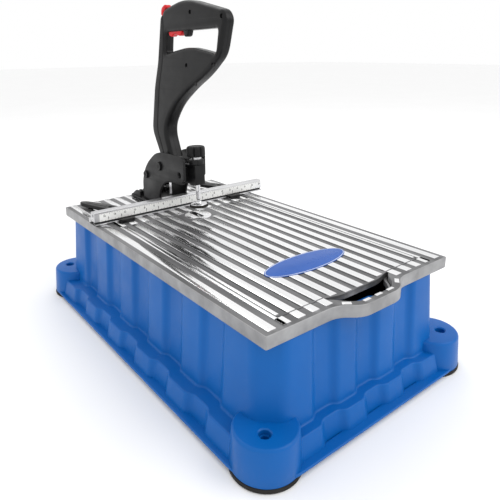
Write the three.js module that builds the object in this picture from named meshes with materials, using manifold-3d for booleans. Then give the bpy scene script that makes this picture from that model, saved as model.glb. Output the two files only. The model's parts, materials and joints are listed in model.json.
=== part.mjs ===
// Electric pocket-hole drilling machine: a blue moulded base, an aluminium table with a lift-up
// access panel, a sliding fence with a rule, and a lever that clamps the board and feeds the drill.
// Millimetres, +Z up. X runs across the table, -Y is the operator's side, the floor is Z = 0.
import * as THREE from 'three';
import { mergeVertices } from 'three/addons/utils/BufferGeometryUtils.js';
import Module from 'manifold-3d';

const wasm = await Module();
wasm.setup();

// ---------------------------------------------------------------- driving dimensions
const tableWidth = 356;
const tableDepth = 610;
const tableHeight = 178;
const tableThick = 17.5;
const gap = 0.3;              // between two pieces that touch
const runGap = 0.5;           // between two pieces that slide or turn on each other

const footHeight = 6;
const footRadius = 45;
const footBoltRadius = 4;
const cornerRadius = 44;      // of the base rim and the corner bosses, at the floor end
const bossTopRadius = 41;
const bossHeight = 55;
const rimOut = 6.2;           // rim past the skirt's foot at the sides
const rimOutEnd = 9.45;       // and at the front and back
const rimThick = 4;
const ledgeHeight = 38;
const ledgeWidth = 21.8;
const skirtDraft = 6;
const wallThick = 4;
const wallDraft = 7;
const wallOverhang = 5.5;     // the table edge past the top of the wall
const recessDepth = 7;
const recessFlank = 9;
const cornerChamfer = 28;
const mountHoleRadius = 5.5;
const mountSinkRadius = 8.5;
const mountHoleOut = 10;      // mounting hole outboard of its boss centre, each way

const landPitch = 23.3;
const landWidth = 12.5;
const landRise = 0.8;
const landSetback = 7;
const panelWidth = 279;
const panelFront = -281;
const panelRear = 122;
const panelThick = 8.4;
const panelGap = 0.8;
const notchHalf = 46;
const notchFillet = 16;
const notchBulge = 21;
const panelBulge = 8;
const notchDepth = 33;
const notchRim = 6.5;         // bare edge outside the lands on the notch's rim
const badgeLong = 156;
const badgeWide = 53;
const badgeY = -189;

const drillAngle = 15;        // degrees, drill axis to the table
const drillExitY = 98;
const drillStroke = 46;
const bitRadius = 4.75;
const bitTip = 0;             // distances along the drill axis from its exit point
const chuckFront = -168;
const chuckLength = 28;
const chuckRadius = 11;
const gearboxLength = 26;
const gearboxRadius = 20;
const motorLength = 98;
const motorRadius = 28;
const railRadius = 6;
const railX = 48;
const slotWidth = 12;
const slotLength = 38;
const insertRadius = 25;
const insertY = 95;

const fenceLeft = -178;
const fenceRight = 206;
const fenceFront = 153;
const fenceDepth = 30;
const fenceHeight = 23;
const rulerHeight = 14;
const rulerThick = 1;
const rulerLow = 6;
const leverLength = 100;
const leverInset = 64;        // lever pivot from each end of the fence
const leverPivotBack = 10;    // lever pivot behind the fence
const leverTurn = 23;         // degrees, the levers lie turned to the left of straight back
const leverHeight = 9;        // lever pivot above the table

const plateOutX = 32;
const plateThick = 4.5;
const plateRear = 250;
const plateFront = 89;
const noseCut = 24;           // the right plate's nose stops this far behind the left one's
const archFront = 104;
const archClear = 3;          // fence to the back of the housing's arch, and 4 more to its base
const plateTop = 113;         // above the table
const archTop = 60;
const handlePivotY = 178;
const handlePivotUp = 84;
const handleShaftRadius = 6;
const handlePull = 50;        // degrees
const armPivotY = 232;
const armPivotUp = 58;
const armShaftRadius = 5;
const armRise = 3.25;         // degrees, how far the clamp arm stands up at rest
const armRailX = 18;
const armRailThick = 6;
const rollerRadius = 7;
const plungerY = 93.4;
const blockHalf = 10.5;
const rodRadius = 4.3;
const knobRadius = 17;
const padRadius = 17.5;
const padThick = 4.5;

const loopHalf = 11;          // half thickness of the D grip
const bodyHalf = 15;          // half thickness of the handle's lower body
const shellWall = 3.4;
const leverCoreHalf = 4;
const noseRadius = 11;        // of the lever's cam, which presses the clamp arm's roller
const pullCrank = 38;         // handle pivot to the pull rod's pin
const bellUp = 130;           // bell crank pivot above the floor
const bellAngle = 40;         // degrees that the bell crank turns
const linkPinRadius = 4;
const linkThick = 5;
const linkWide = 14;

const rad = THREE.MathUtils.degToRad;
const top = tableHeight;
const slabTop = top - landRise;
const slabBottom = top - tableThick;
const halfTable = tableWidth / 2;
const halfDepth = tableDepth / 2;
const wallTopX = halfTable - wallOverhang;
const wallTopY = halfDepth - 0.5 * wallOverhang;
const wallLowX = wallTopX + wallDraft;
const wallLowY = wallTopY + wallDraft;
const skirtX = wallLowX + ledgeWidth;
const skirtY = wallLowY + ledgeWidth - 6.5;
const halfFootprint = skirtX + skirtDraft + rimOut;
const halfFootprintY = skirtY + skirtDraft + rimOutEnd;
const bossX = halfFootprint - cornerRadius;
const bossY = halfFootprintY - cornerRadius;
const archRear = fenceFront + fenceDepth + archClear;
const baseLow = footHeight + gap;

// ---------------------------------------------------------------- finishes
const finishes = {
  blue: { color: 0x0066b3, roughness: 0.45, metalness: 0 },
  black: { color: 0x26272a, roughness: 0.55, metalness: 0 },
  blackMetal: { color: 0x242528, roughness: 0.5, metalness: 0.2 },
  rubber: { color: 0x2c2b2a, roughness: 0.85, metalness: 0 },
  red: { color: 0xdd1c24, roughness: 0.4, metalness: 0 },
  alloy: { color: 0x9b9c9e, roughness: 0.35, metalness: 0.9 },
  steel: { color: 0xbfc1c4, roughness: 0.25, metalness: 1 },
  white: { color: 0xf3f3f0, roughness: 0.45, metalness: 0 },
  badge: { color: 0x3566b5, roughness: 0.35, metalness: 0 },
};

const machine = new THREE.Group();

// ---------------------------------------------------------------- solids
function solidOf(geometry) {
  const bare = geometry.clone();
  bare.deleteAttribute('normal');
  bare.deleteAttribute('uv');
  const merged = mergeVertices(bare, 1e-4);
  return new wasm.Manifold(new wasm.Mesh({
    numProp: 3,
    vertProperties: Float32Array.from(merged.attributes.position.array),
    triVerts: Uint32Array.from(merged.index.array),
  }));
}

function geometryOf(solid) {
  const mesh = solid.getMesh();
  const geometry = new THREE.BufferGeometry();
  geometry.setAttribute('position', new THREE.BufferAttribute(Float32Array.from(mesh.vertProperties), 3));
  geometry.setIndex(new THREE.BufferAttribute(Uint32Array.from(mesh.triVerts), 1));
  geometry.computeVertexNormals();
  return geometry;
}

function place(parent, name, solid, finish) {
  const mesh = new THREE.Mesh(geometryOf(solid), new THREE.MeshStandardMaterial(finishes[finish]));
  mesh.name = name;
  parent.add(mesh);
  return mesh;
}

const join = (...solids) => solids.reduce((whole, piece) => whole.add(piece));
const cut = (solid, ...tools) => tools.reduce((left, tool) => left.subtract(tool), solid);

function box(x, y, z) {
  const geometry = new THREE.BoxGeometry(x[1] - x[0], y[1] - y[0], z[1] - z[0]);
  geometry.translate((x[0] + x[1]) / 2, (y[0] + y[1]) / 2, (z[0] + z[1]) / 2);
  return solidOf(geometry);
}

// A bar along one axis: along 'x' the centre is [y, z], along 'y' [x, z], along 'z' [x, y].
function bar(axis, radius, from, to, centre, sides = 20) {
  const geometry = new THREE.CylinderGeometry(radius, radius, to - from, sides);
  const mid = (from + to) / 2;
  if (axis === 'x') {
    geometry.rotateZ(-Math.PI / 2);
    geometry.translate(mid, centre[0], centre[1]);
  } else if (axis === 'y') {
    geometry.translate(centre[0], mid, centre[1]);
  } else {
    geometry.rotateX(Math.PI / 2);
    geometry.translate(centre[0], centre[1], mid);
  }
  return solidOf(geometry);
}

// A turned piece about a vertical axis; the profile is a list of [radius, height].
function turned(profile, centre = [0, 0], sides = 28) {
  const geometry = new THREE.LatheGeometry(profile.map(([r, z]) => new THREE.Vector2(r, z)), sides);
  geometry.rotateX(Math.PI / 2);
  geometry.translate(centre[0], centre[1], 0);
  return solidOf(geometry);
}

// A closed outline whose corners are [u, v, radius]; radius 0 or none keeps the corner sharp.
function outline(corners) {
  const shape = new THREE.Shape();
  const count = corners.length;
  corners.forEach((corner, i) => {
    const here = new THREE.Vector2(corner[0], corner[1]);
    const before = corners[(i + count - 1) % count];
    const after = corners[(i + 1) % count];
    const toBefore = new THREE.Vector2(before[0], before[1]).sub(here);
    const toAfter = new THREE.Vector2(after[0], after[1]).sub(here);
    const room = 0.48 * Math.min(toBefore.length(), toAfter.length());
    const round = Math.min(corner[2] ?? 0, room);
    const start = here.clone().add(toBefore.setLength(round));
    const end = here.clone().add(toAfter.setLength(round));
    if (i === 0) shape.moveTo(start.x, start.y);
    else shape.lineTo(start.x, start.y);
    if (round > 0) shape.quadraticCurveTo(here.x, here.y, end.x, end.y);
  });
  shape.closePath();
  return shape;
}

function slab(shape, z, curveSegments = 4) {
  const geometry = new THREE.ExtrudeGeometry(shape,
    { depth: z[1] - z[0], bevelEnabled: false, curveSegments });
  geometry.translate(0, 0, z[0]);
  return solidOf(geometry);
}

// The shape is drawn in (y, z) and stands between two values of x.
function platePiece(shape, x, curveSegments = 4) {
  const geometry = new THREE.ExtrudeGeometry(shape,
    { depth: x[1] - x[0], bevelEnabled: false, curveSegments });
  geometry.applyMatrix4(new THREE.Matrix4().makeBasis(
    new THREE.Vector3(0, 1, 0), new THREE.Vector3(0, 0, 1), new THREE.Vector3(1, 0, 0)));
  geometry.translate(x[0], 0, 0);
  return solidOf(geometry);
}

// Turns a solid drawn along the drill axis into the machine's own frame.
const tilted = (solid) => solid.rotate([drillAngle, 0, 0]).translate([0, drillExitY, top]);

// A straight-sided solid between two outlines with the same number of points.
function loft(low, zLow, high, zHigh) {
  const count = low.length;
  const points = [];
  low.forEach(([x, y]) => points.push(x, y, zLow));
  high.forEach(([x, y]) => points.push(x, y, zHigh));
  const faces = [];
  for (let i = 0; i < count; i += 1) {
    const next = (i + 1) % count;
    faces.push(i, next, count + next, i, count + next, count + i);
  }
  const cap = (ring) => THREE.ShapeUtils.triangulateShape(ring.map(([x, y]) => new THREE.Vector2(x, y)), []);
  cap(low).forEach(([a, b, c]) => faces.push(a, c, b));
  cap(high).forEach(([a, b, c]) => faces.push(count + a, count + b, count + c));
  const geometry = new THREE.BufferGeometry();
  geometry.setAttribute('position', new THREE.Float32BufferAttribute(points, 3));
  geometry.setIndex(faces);
  return solidOf(geometry);
}

// ---------------------------------------------------------------- base
const longPitch = 0.16 * tableDepth;
const shortPitch = 0.226 * tableWidth;
const longFlat = longPitch - 2 * recessFlank - 45;
const shortFlat = shortPitch - 2 * recessFlank - 34;
const cornersXY = [[-1, -1], [1, -1], [1, 1], [-1, 1]];
const cornerNames = ['front_left', 'front_right', 'rear_right', 'rear_left'];

// The ribbed outline of the wall, counter-clockwise, with the corners cut off.
function ribbed(halfX, halfY, chamfer) {
  const sideRun = (half, pitch, flat, repeats) => {
    const run = [[-half + chamfer, 0]];
    for (let k = -repeats; k <= repeats; k += 1) {
      const mid = k * pitch;
      run.push([mid - flat / 2 - recessFlank, 0], [mid - flat / 2, recessDepth]);
      run.push([mid + flat / 2, recessDepth], [mid + flat / 2 + recessFlank, 0]);
    }
    run.push([half - chamfer, 0]);
    return run;
  };
  const front = sideRun(halfX, shortPitch, shortFlat, 1);
  const side = sideRun(halfY, longPitch, longFlat, 2);
  return [
    ...front.map(([u, v]) => [u, v - halfY]),
    ...side.map(([u, v]) => [halfX - v, u]),
    ...front.map(([u, v]) => [-u, halfY - v]),
    ...side.map(([u, v]) => [v - halfX, -u]),
  ];
}

function cutCorners(halfX, halfY, chamfer) {
  return [
    [-halfX + chamfer, -halfY], [halfX - chamfer, -halfY],
    [halfX, -halfY + chamfer], [halfX, halfY - chamfer],
    [halfX - chamfer, halfY], [-halfX + chamfer, halfY],
    [-halfX, halfY - chamfer], [-halfX, -halfY + chamfer],
  ];
}

const wallTop = slabBottom - gap;
const portX = -70;
const portZ = 96;
const portRadius = 19;
const inletX = 95;
const inletZ = 100;
const inletHalf = [17, 13];

function baseShell() {
  const rim = slab(outline([
    [-halfFootprint, -halfFootprintY, 1.45 * cornerRadius],
    [halfFootprint, -halfFootprintY, 1.45 * cornerRadius],
    [halfFootprint, halfFootprintY, 1.45 * cornerRadius],
    [-halfFootprint, halfFootprintY, 1.45 * cornerRadius],
  ]), [baseLow, baseLow + rimThick], 8);
  const skirt = loft(
    ribbed(skirtX + skirtDraft, skirtY + skirtDraft, cornerChamfer), baseLow + 1,
    ribbed(skirtX, skirtY, cornerChamfer), ledgeHeight);
  const wall = loft(
    ribbed(wallLowX, wallLowY, cornerChamfer), ledgeHeight - 2,
    ribbed(wallTopX, wallTopY, cornerChamfer), wallTop);
  const bosses = cornersXY.map(([sx, sy]) => turned([
    [0, baseLow], [cornerRadius, baseLow], [cornerRadius, baseLow + rimThick],
    [bossTopRadius, bossHeight - 3.5], [bossTopRadius - 0.9, bossHeight - 1.2],
    [bossTopRadius - 3.4, bossHeight], [0, bossHeight],
  ], [sx * bossX, sy * bossY], 36));
  const underSkirt = loft(
    cutCorners(skirtX - recessDepth - wallThick, skirtY - recessDepth - wallThick, 62), baseLow - 1,
    cutCorners(skirtX - recessDepth - wallThick, skirtY - recessDepth - wallThick, 62),
    ledgeHeight - wallThick);
  const inWall = recessDepth + wallThick;
  const room = loft(
    cutCorners(wallLowX - inWall, wallLowY - inWall, cornerChamfer), baseLow,
    cutCorners(wallTopX - inWall, wallTopY - inWall, cornerChamfer), wallTop + 1);
  const holes = cornersXY.flatMap(([sx, sy]) => {
    const at = [sx * (bossX + mountHoleOut), sy * (bossY + mountHoleOut)];
    const sink = turned([
      [0, bossHeight - 8], [mountSinkRadius - 1, bossHeight - 8], [mountSinkRadius - 1, bossHeight - 2],
      [mountSinkRadius + 0.6, bossHeight], [mountSinkRadius + 0.6, bossHeight + 1], [0, bossHeight + 1],
    ], at, 20);
    return [bar('z', mountHoleRadius, baseLow - 1, bossHeight, at, 16), sink];
  });
  const boltHoles = cornersXY.map(([sx, sy]) =>
    bar('z', footBoltRadius + 0.2, baseLow - 1, baseLow + 24, [sx * bossX, sy * bossY], 12));
  const outlets = [
    bar('y', portRadius + gap, wallTopY - 30, wallLowY + 5, [portX, portZ], 24),
    box([inletX - inletHalf[0] - gap, inletX + inletHalf[0] + gap], [wallTopY - 30, wallLowY + 5],
      [inletZ - inletHalf[1] - gap, inletZ + inletHalf[1] + gap]),
  ];
  return cut(join(rim, skirt, wall, ...bosses), underSkirt, room, ...holes, ...boltHoles, ...outlets);
}

function bottomPlate() {
  const inset = recessDepth + wallThick + gap;
  return loft(
    cutCorners(skirtX - inset, skirtY - inset, 63), baseLow,
    cutCorners(skirtX - inset, skirtY - inset, 63), baseLow + 2);
}

function foot(sx, sy) {
  const at = [sx * bossX, sy * bossY];
  const disc = turned([
    [0, 0], [footRadius - 2, 0], [footRadius, 1.5],
    [footRadius, footHeight - 1], [footRadius - 1, footHeight],
    [0, footHeight],
  ], at, 40);
  const through = bar('z', mountHoleRadius, -1, footHeight + 1,
    [at[0] + sx * mountHoleOut, at[1] + sy * mountHoleOut], 16);
  const bolt = bar('z', footBoltRadius + runGap, -1, footHeight + 1, at, 16);
  const head = bar('z', 2 * footBoltRadius + runGap, -1, footHeight - 2, at, 16);
  return cut(disc, through, bolt, head);
}

function footBolt(sx, sy) {
  const at = [sx * bossX, sy * bossY];
  return join(
    bar('z', 2 * footBoltRadius, 1, footHeight - 2 - gap, at, 16),
    bar('z', footBoltRadius, 1.5, baseLow + 20, at, 12));
}

place(machine, 'base_shell', baseShell(), 'blue');
place(machine, 'bottom_plate', bottomPlate(), 'blackMetal');
cornersXY.forEach(([sx, sy], i) => {
  place(machine, `foot_${cornerNames[i]}`, foot(sx, sy), 'rubber');
  place(machine, `foot_bolt_${cornerNames[i]}`, footBolt(sx, sy), 'steel');
});

// ---------------------------------------------------------------- table and access panel
const panelHalf = panelWidth / 2;
const panelLow = top - panelThick - landRise;
const landX = (k) => [k * landPitch - landWidth / 2, k * landPitch + landWidth / 2];
const land = (x, y) => box(x, y, [slabTop - 0.5, top]);
const rodSlotY = handlePivotY + pullCrank * Math.cos(rad(handlePull / 2));

// The front edge steps out round the finger notch; depth is measured towards the operator.
function notchedRect(halfX, front, rear, bulge, round) {
  return outline([
    [-halfX, front, round], [-notchHalf - notchFillet, front, notchFillet],
    [-notchHalf + 8, front - bulge, 1.8 * notchFillet],
    [notchHalf - 8, front - bulge, 1.8 * notchFillet], [notchHalf + notchFillet, front, notchFillet],
    [halfX, front, round], [halfX, rear, round], [-halfX, rear, round],
  ]);
}

function tableFrame() {
  const plate = slab(notchedRect(halfTable, -halfDepth, halfDepth, notchBulge, 1.5), [slabBottom, slabTop]);
  const lands = [];
  for (let k = -7; k <= 7; k += 1) {
    const inNotch = Math.abs(k * landPitch) < notchHalf;
    const front = inNotch ? -halfDepth - notchBulge + notchRim : -halfDepth + landSetback;
    lands.push(land(landX(k), [front, halfDepth]));
  }
  const opening = slab(
    notchedRect(panelHalf + panelGap, panelFront - panelGap, panelRear + panelGap, notchDepth, 8),
    [panelLow - gap, top + 1]);
  const under = box([-panelHalf + 7, panelHalf - 7],
    [panelFront + 6, panelRear - 12], [slabBottom - 1, top + 1]);
  const underNotch = slab(outline([
    [-notchHalf + 12, panelFront - notchDepth + 3, 14], [notchHalf - 12, panelFront - notchDepth + 3, 14],
    [notchHalf - 12, panelFront + 20], [-notchHalf + 12, panelFront + 20],
  ]), [slabBottom - 1, top + 1]);
  const rodSlot = box([3, 12], [rodSlotY - 12, rodSlotY + 12], [slabBottom - 1, top + 1]);
  const rimLands = cut(join(plate, ...lands), opening);
  return cut(rimLands, under, underNotch, rodSlot);
}

function accessPanel() {
  const leaf = slab(notchedRect(panelHalf, panelFront, panelRear, panelBulge, 8), [panelLow, slabTop]);
  const lands = [];
  for (let k = -6; k <= 6; k += 1) {
    const inNotch = Math.abs(k * landPitch) < notchHalf - 6;
    lands.push(land(landX(k), [panelFront - (inNotch ? panelBulge - 1 : -0.8), panelRear - 0.5]));
  }
  const trim = slab(notchedRect(panelHalf, panelFront, panelRear, panelBulge, 8), [slabTop - 1, top + 1]);
  const seat = bar('z', insertRadius + 3, slabTop, top + 1, [0, insertY], 36);
  const insert = bar('z', insertRadius, slabTop - 0.5, top, [0, insertY], 36);
  const badgeSeat = bar('z', 1, slabTop, top + 1, [0, 0], 48).scale([badgeLong / 2 + 2, badgeWide / 2 + 2, 1])
    .translate([0, badgeY, 0]);
  const slotRear = panelRear - 2.5;
  const slot = slab(outline([
    [-slotWidth / 2, slotRear - slotLength, 5.9], [slotWidth / 2, slotRear - slotLength, 5.9],
    [slotWidth / 2, slotRear, 5.9], [-slotWidth / 2, slotRear, 5.9],
  ]), [panelLow - 1, top + 1]);
  const bitWay = tilted(join(bar('y', slotWidth / 2, -90, 0, [0, 0], 20),
    box([-slotWidth / 2, slotWidth / 2], [-90, -1], [-30, 0])));
  const ribs = join(...lands).intersect(trim);
  return cut(join(cut(join(leaf, ribs), seat, badgeSeat), insert), slot, bitWay);
}

function panelBadge() {
  const disc = bar('z', 1, slabTop + gap, top + 0.6, [0, 0], 48);
  return disc.scale([badgeLong / 2, badgeWide / 2, 1]).translate([0, badgeY, 0]);
}

place(machine, 'table_frame', tableFrame(), 'alloy');
place(machine, 'access_panel', accessPanel(), 'alloy');
place(machine, 'panel_badge', panelBadge(), 'badge');

// ---------------------------------------------------------------- fence, rule, cam levers, stops
const fenceRear = fenceFront + fenceDepth;
const fenceLow = top + gap;
const leverPivots = [
  { side: 'left', x: fenceLeft + leverInset },
  { side: 'right', x: fenceRight - leverInset },
];
const leverPivotY = fenceRear + leverPivotBack;

function fenceBar() {
  const section = outline([
    [fenceFront, fenceLow], [fenceRear, fenceLow], [fenceRear, fenceLow + 9, 1.5],
    [fenceRear - 9, fenceLow + 10, 2], [fenceRear - 12, fenceLow + fenceHeight, 2],
    [fenceFront + 3, fenceLow + fenceHeight, 1.5], [fenceFront + 3, fenceLow + 5.6],
    [fenceFront + 8, fenceLow + 5.6], [fenceFront + 8, fenceLow + 2.4], [fenceFront, fenceLow + 2.4],
  ]);
  const body = platePiece(section, [fenceLeft, fenceRight]);
  const bores = [
    bar('x', 2.6, fenceLeft - 1, fenceRight + 1, [fenceFront + 10.5, fenceLow + 16.5], 12),
    bar('x', 2.2, fenceLeft - 1, fenceRight + 1, [fenceFront + 20, fenceLow + 5.2], 12),
  ];
  const studHoles = leverPivots.map(({ x }) =>
    box([x - 3, x + 3], [fenceRear - 5, fenceRear + 1], [fenceLow - 1, fenceLow + 12]));
  const feet = leverPivots.map(({ x }) => box(
    [x - 13, x + 13], [fenceRear - 4, leverPivotY + 10], [fenceLow, fenceLow + 2.5]));
  const footHoles = leverPivots.map(({ x }) => bar('z', 3.4, top - 1, top + 4, [x, leverPivotY], 12));
  return cut(join(cut(body, ...bores, ...studHoles), ...feet), ...footHoles);
}

function fenceScale() {
  return box([fenceLeft + 9, fenceRight - gap], [fenceFront + 3 - gap - rulerThick, fenceFront + 3 - gap],
    [top + rulerLow, top + rulerLow + rulerHeight]);
}

function camStud() {
  const shank = bar('z', 3, gap, leverHeight - 2, [0, 0], 12);
  const eye = bar('x', 4.6, -2.6, 2.6, [0, leverHeight], 16);
  const pin = bar('x', 2.2, -8.4, 8.4, [0, leverHeight], 12);
  return join(shank, eye, pin);
}

// The lever lies flat behind the fence; its fork holds the stud's eye and turns on its pin.
function camLever() {
  const low = leverHeight - 5;
  const high = leverHeight + 2.5;
  const blade = slab(outline([
    [-9, 1], [9, 1], [12.5, 16, 8], [13, 40, 14], [9, leverLength - 8, 16], [0, leverLength + 2, 9],
    [-9, leverLength - 8, 16], [-13, 40, 14], [-12.5, 16, 8],
  ]), [low, high]);
  const hollow = slab(outline([[-13, 30, 4], [13, 30, 4], [10, 120, 4], [-10, 120, 4]]),
    [low - 1, low + 1.5]);
  const window = slab(
    outline([[-2.6, 14, 2.5], [2.6, 14, 2.5], [2.6, 25, 2.5], [-2.6, 25, 2.5]]), [low - 1, high + 1]);
  const cheeks = bar('x', 5.8, -8.6, 8.6, [0, leverHeight], 20);
  const fork = box([-3.1, 3.1], [-7.5, 8], [low - 2, high + 5]);
  const pinHole = bar('x', 2.2 + gap, -20, 20, [0, leverHeight], 12);
  return cut(join(cut(blade, hollow), cheeks), fork, window, pinHole);
}

function fenceStop(x) {
  return join(
    box([x - 15, x + 15], [fenceFront + 1.2, fenceFront + 8 - runGap],
      [fenceLow + 2.4 + runGap, fenceLow + 5.6 - runGap]),
    box([x - 15, x + 15], [fenceFront - 7, fenceFront + 1.6], [fenceLow + 2.9, fenceLow + 5.1]),
    box([x - 13, x + 13], [fenceFront - 12, fenceFront - 4.5], [fenceLow, fenceLow + 5.1]));
}

place(machine, 'fence_bar', fenceBar(), 'alloy');
place(machine, 'fence_scale', fenceScale(), 'white');
leverPivots.forEach(({ side, x }) => {
  [place(machine, `cam_stud_${side}`, camStud(), 'steel'),
    place(machine, `cam_lever_${side}`, camLever(), 'black')].forEach((piece) => {
    piece.position.set(x, leverPivotY, top);
    piece.rotation.z = rad(leverTurn);
  });
});
place(machine, 'fence_stop_left', fenceStop(-120), 'black');
place(machine, 'fence_stop_right', fenceStop(125), 'black');

// ---------------------------------------------------------------- clamp housing
const plateInX = plateOutX - plateThick;
const handlePivotZ = top + handlePivotUp;
const armPivotZ = top + armPivotUp;
const housingLow = top + gap;
const baseTop = housingLow + 4.7;
const baseFront = archRear + 4;

function housingBase() {
  const plate = slab(outline([[-38, baseFront, 4], [38, baseFront, 4], [38, 298, 6], [-38, 298, 6]]),
    [housingLow, baseTop]);
  const ribs = [-34, -25.5, -17, 17, 25.5, 34].map((x) =>
    platePiece(outline([[258, baseTop - 1], [292, baseTop - 1], [289, baseTop + 4, 2], [276, baseTop + 12, 3],
      [258, baseTop + 12]]), [x - 1.6, x + 1.6]));
  const rodSlot = box([3, 12], [rodSlotY - 12, rodSlotY + 12], [housingLow - 1, baseTop + 1]);
  return cut(join(plate, ...ribs), rodSlot);
}

function housingPlate(side) {
  const up = (z) => top + z;
  const nose = side < 0 ? plateFront : plateFront + noseCut;
  const shape = outline([
    [plateRear, baseTop + gap, 3], [plateRear, up(48), 30], [plateRear - 19, up(80), 30],
    [plateRear - 60, up(plateTop - 3), 40], [plateRear - 100, up(plateTop), 20],
    [nose + 8, up(plateTop + 2), 5], [nose, up(plateTop - 4), 6], [nose, up(archTop + 10), 6],
    [Math.max(archFront, nose + 6), up(archTop + 6), 6], [archFront + 55, up(archTop - 3), 30],
    [archRear - 6, up(archTop - 24), 22], [archRear, baseTop + gap],
  ]);
  const x = side < 0 ? [-plateOutX, -plateInX] : [plateInX, plateOutX];
  const shaft = bar('x', handleShaftRadius + gap, -60, 60, [handlePivotY, handlePivotZ], 24);
  const armHole = bar('x', armShaftRadius + gap, -60, 60, [armPivotY, armPivotZ], 20);
  const pinHole = bar('x', 5.5, -60, 60, [archFront + 1, up(79)], 20);
  return cut(platePiece(shape, x, 8), shaft, armHole, pinHole);
}

function pivotShaft(radius, y, z) {
  const shaft = bar('x', radius, -plateOutX - 2.5, plateOutX + 2.5, [y, z], 24);
  const heads = [-1, 1].map((side) => {
    const from = side * (plateOutX + gap);
    const to = side * (plateOutX + 3.5);
    return bar('x', radius + 2.5, Math.min(from, to), Math.max(from, to), [y, z], 24);
  });
  return join(shaft, ...heads);
}

function housingSpacer() {
  return bar('x', 5, -plateInX + gap, plateInX - gap, [plateRear - 8, top + 30], 16);
}

place(machine, 'housing_base', housingBase(), 'black');
place(machine, 'housing_plate_left', housingPlate(-1), 'black');
place(machine, 'housing_plate_right', housingPlate(1), 'black');
place(machine, 'housing_spacer', housingSpacer(), 'steel');
place(machine, 'handle_shaft', pivotShaft(handleShaftRadius, handlePivotY, handlePivotZ), 'steel');
place(machine, 'arm_shaft', pivotShaft(armShaftRadius, armPivotY, armPivotZ), 'steel');

// ---------------------------------------------------------------- clamp arm, knob, plunger and pad
// These pieces are drawn as they stand with the clamp closed, then swung up by armRise.
const armGroup = new THREE.Group();
armGroup.position.set(0, armPivotY, armPivotZ);
armGroup.rotation.x = -rad(armRise);
machine.add(armGroup);
const blockLow = top + 52.4;
const blockTop = top + 89.5;
const collarTop = blockTop + 9.5;
const knobLow = collarTop + 3;
const knobTop = knobLow + 21.5;
const padLow = top + 9.5;
const cupLow = padLow + padThick + gap;
const cupTop = cupLow + 6;
const rodTop = blockTop - 4;
const inArm = (solid) => solid.translate([0, -armPivotY, -armPivotZ]);
const railLow = top + 50;
const railTop = top + 71;
const rollerY = 148;
const rollerZ = railTop - 8;

function clampArm() {
  const block = slab(outline([
    [-blockHalf, plungerY - blockHalf, 1.5], [blockHalf, plungerY - blockHalf, 1.5],
    [blockHalf, plungerY + 26], [-blockHalf, plungerY + 26],
  ]), [blockLow, blockTop]);
  const cross = box([-armRailX - armRailThick, armRailX + armRailThick], [plungerY + 14, plungerY + 27],
    [blockLow + 3, blockTop - 6]);
  const railShape = outline([
    [plungerY + 14, railLow + 2, 3], [armPivotY + 11, railLow - 3, 9], [armPivotY + 11, railTop - 4, 9],
    [plungerY + 60, railTop, 3], [plungerY + 14, blockTop - 8],
  ]);
  const rails = [-1, 1].map((side) => platePiece(railShape, side < 0
    ? [-armRailX - armRailThick, -armRailX] : [armRailX, armRailX + armRailThick]));
  const bore = bar('z', rodRadius + gap, blockLow - 1, blockTop + 1, [0, plungerY], 24);
  const shaftBore = bar('x', armShaftRadius + gap, -60, 60, [armPivotY, armPivotZ], 24);
  const rollerBore = bar('x', 3.3, -60, 60, [rollerY, rollerZ], 16);
  return cut(join(block, cross, ...rails), bore, shaftBore, rollerBore);
}

function armRoller() {
  const reach = armRailX + armRailThick - 0.5;
  return join(
    bar('x', 3, -reach, reach, [rollerY, rollerZ], 16),
    bar('x', rollerRadius, -armRailX + runGap, armRailX - runGap, [rollerY, rollerZ], 24));
}

function lockRing() {
  const ring = turned([
    [rodRadius + 2, blockTop + gap], [13, blockTop + gap], [14, blockTop + 1.3], [14, collarTop - 1],
    [13, collarTop], [rodRadius + 2, collarTop], [rodRadius + 2, blockTop + gap],
  ], [0, plungerY], 32);
  const flats = [0, 60, 120, 180, 240, 300].map((angle) => {
    const x = 15.5 * Math.cos(rad(angle));
    const y = 15.5 * Math.sin(rad(angle));
    return bar('z', 2.6, blockTop + 1, collarTop + 1, [x, plungerY + y], 10);
  });
  return cut(ring, ...flats);
}

function clampKnob() {
  const head = turned([
    [0, knobLow + 2], [knobRadius - 2, knobLow + 2], [knobRadius, knobLow + 3.5], [knobRadius, knobTop - 3],
    [knobRadius - 2, knobTop - 0.6], [knobRadius - 4, knobTop], [0, knobTop],
  ], [0, plungerY], 40);
  const neck = turned([
    [0, collarTop + gap], [rodRadius + 5, collarTop + gap],
    [rodRadius + 5, knobLow + 2.5], [0, knobLow + 2.5],
  ], [0, plungerY], 24);
  const grips = [];
  for (let i = 0; i < 8; i += 1) {
    const angle = rad(22.5 + 45 * i);
    const x = (knobRadius + 3.2) * Math.cos(angle);
    const y = (knobRadius + 3.2) * Math.sin(angle);
    grips.push(bar('z', 5, knobLow + 1, knobTop + 1, [x, plungerY + y], 14));
  }
  return cut(join(head, neck), ...grips);
}

function plungerRod() {
  return turned([
    [0, cupTop - 2.4], [2.2, cupTop - 2], [3, cupTop], [2.6, cupTop + 2], [rodRadius, cupTop + 4],
    [rodRadius, rodTop - 1], [rodRadius - 1, rodTop], [0, rodTop],
  ], [0, plungerY], 24);
}

function padCup() {
  const cup = turned([
    [0, cupLow], [15.5, cupLow], [15.5, cupLow + 1], [9, cupLow + 1.8], [5.6, cupLow + 3.4], [5, cupTop],
    [0, cupTop],
  ], [0, plungerY], 32);
  const socket = turned([
    [0, cupTop - 3], [2.6, cupTop - 2.6], [3.6, cupTop], [3.6, cupTop + 1], [0, cupTop + 1],
  ], [0, plungerY], 20);
  return cut(cup, socket);
}

function padRubber() {
  return turned([
    [0, padLow], [padRadius - 1.5, padLow], [padRadius, padLow + 1.2], [padRadius, padLow + padThick - 0.6],
    [padRadius - 1, padLow + padThick], [0, padLow + padThick],
  ], [0, plungerY], 32);
}

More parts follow.
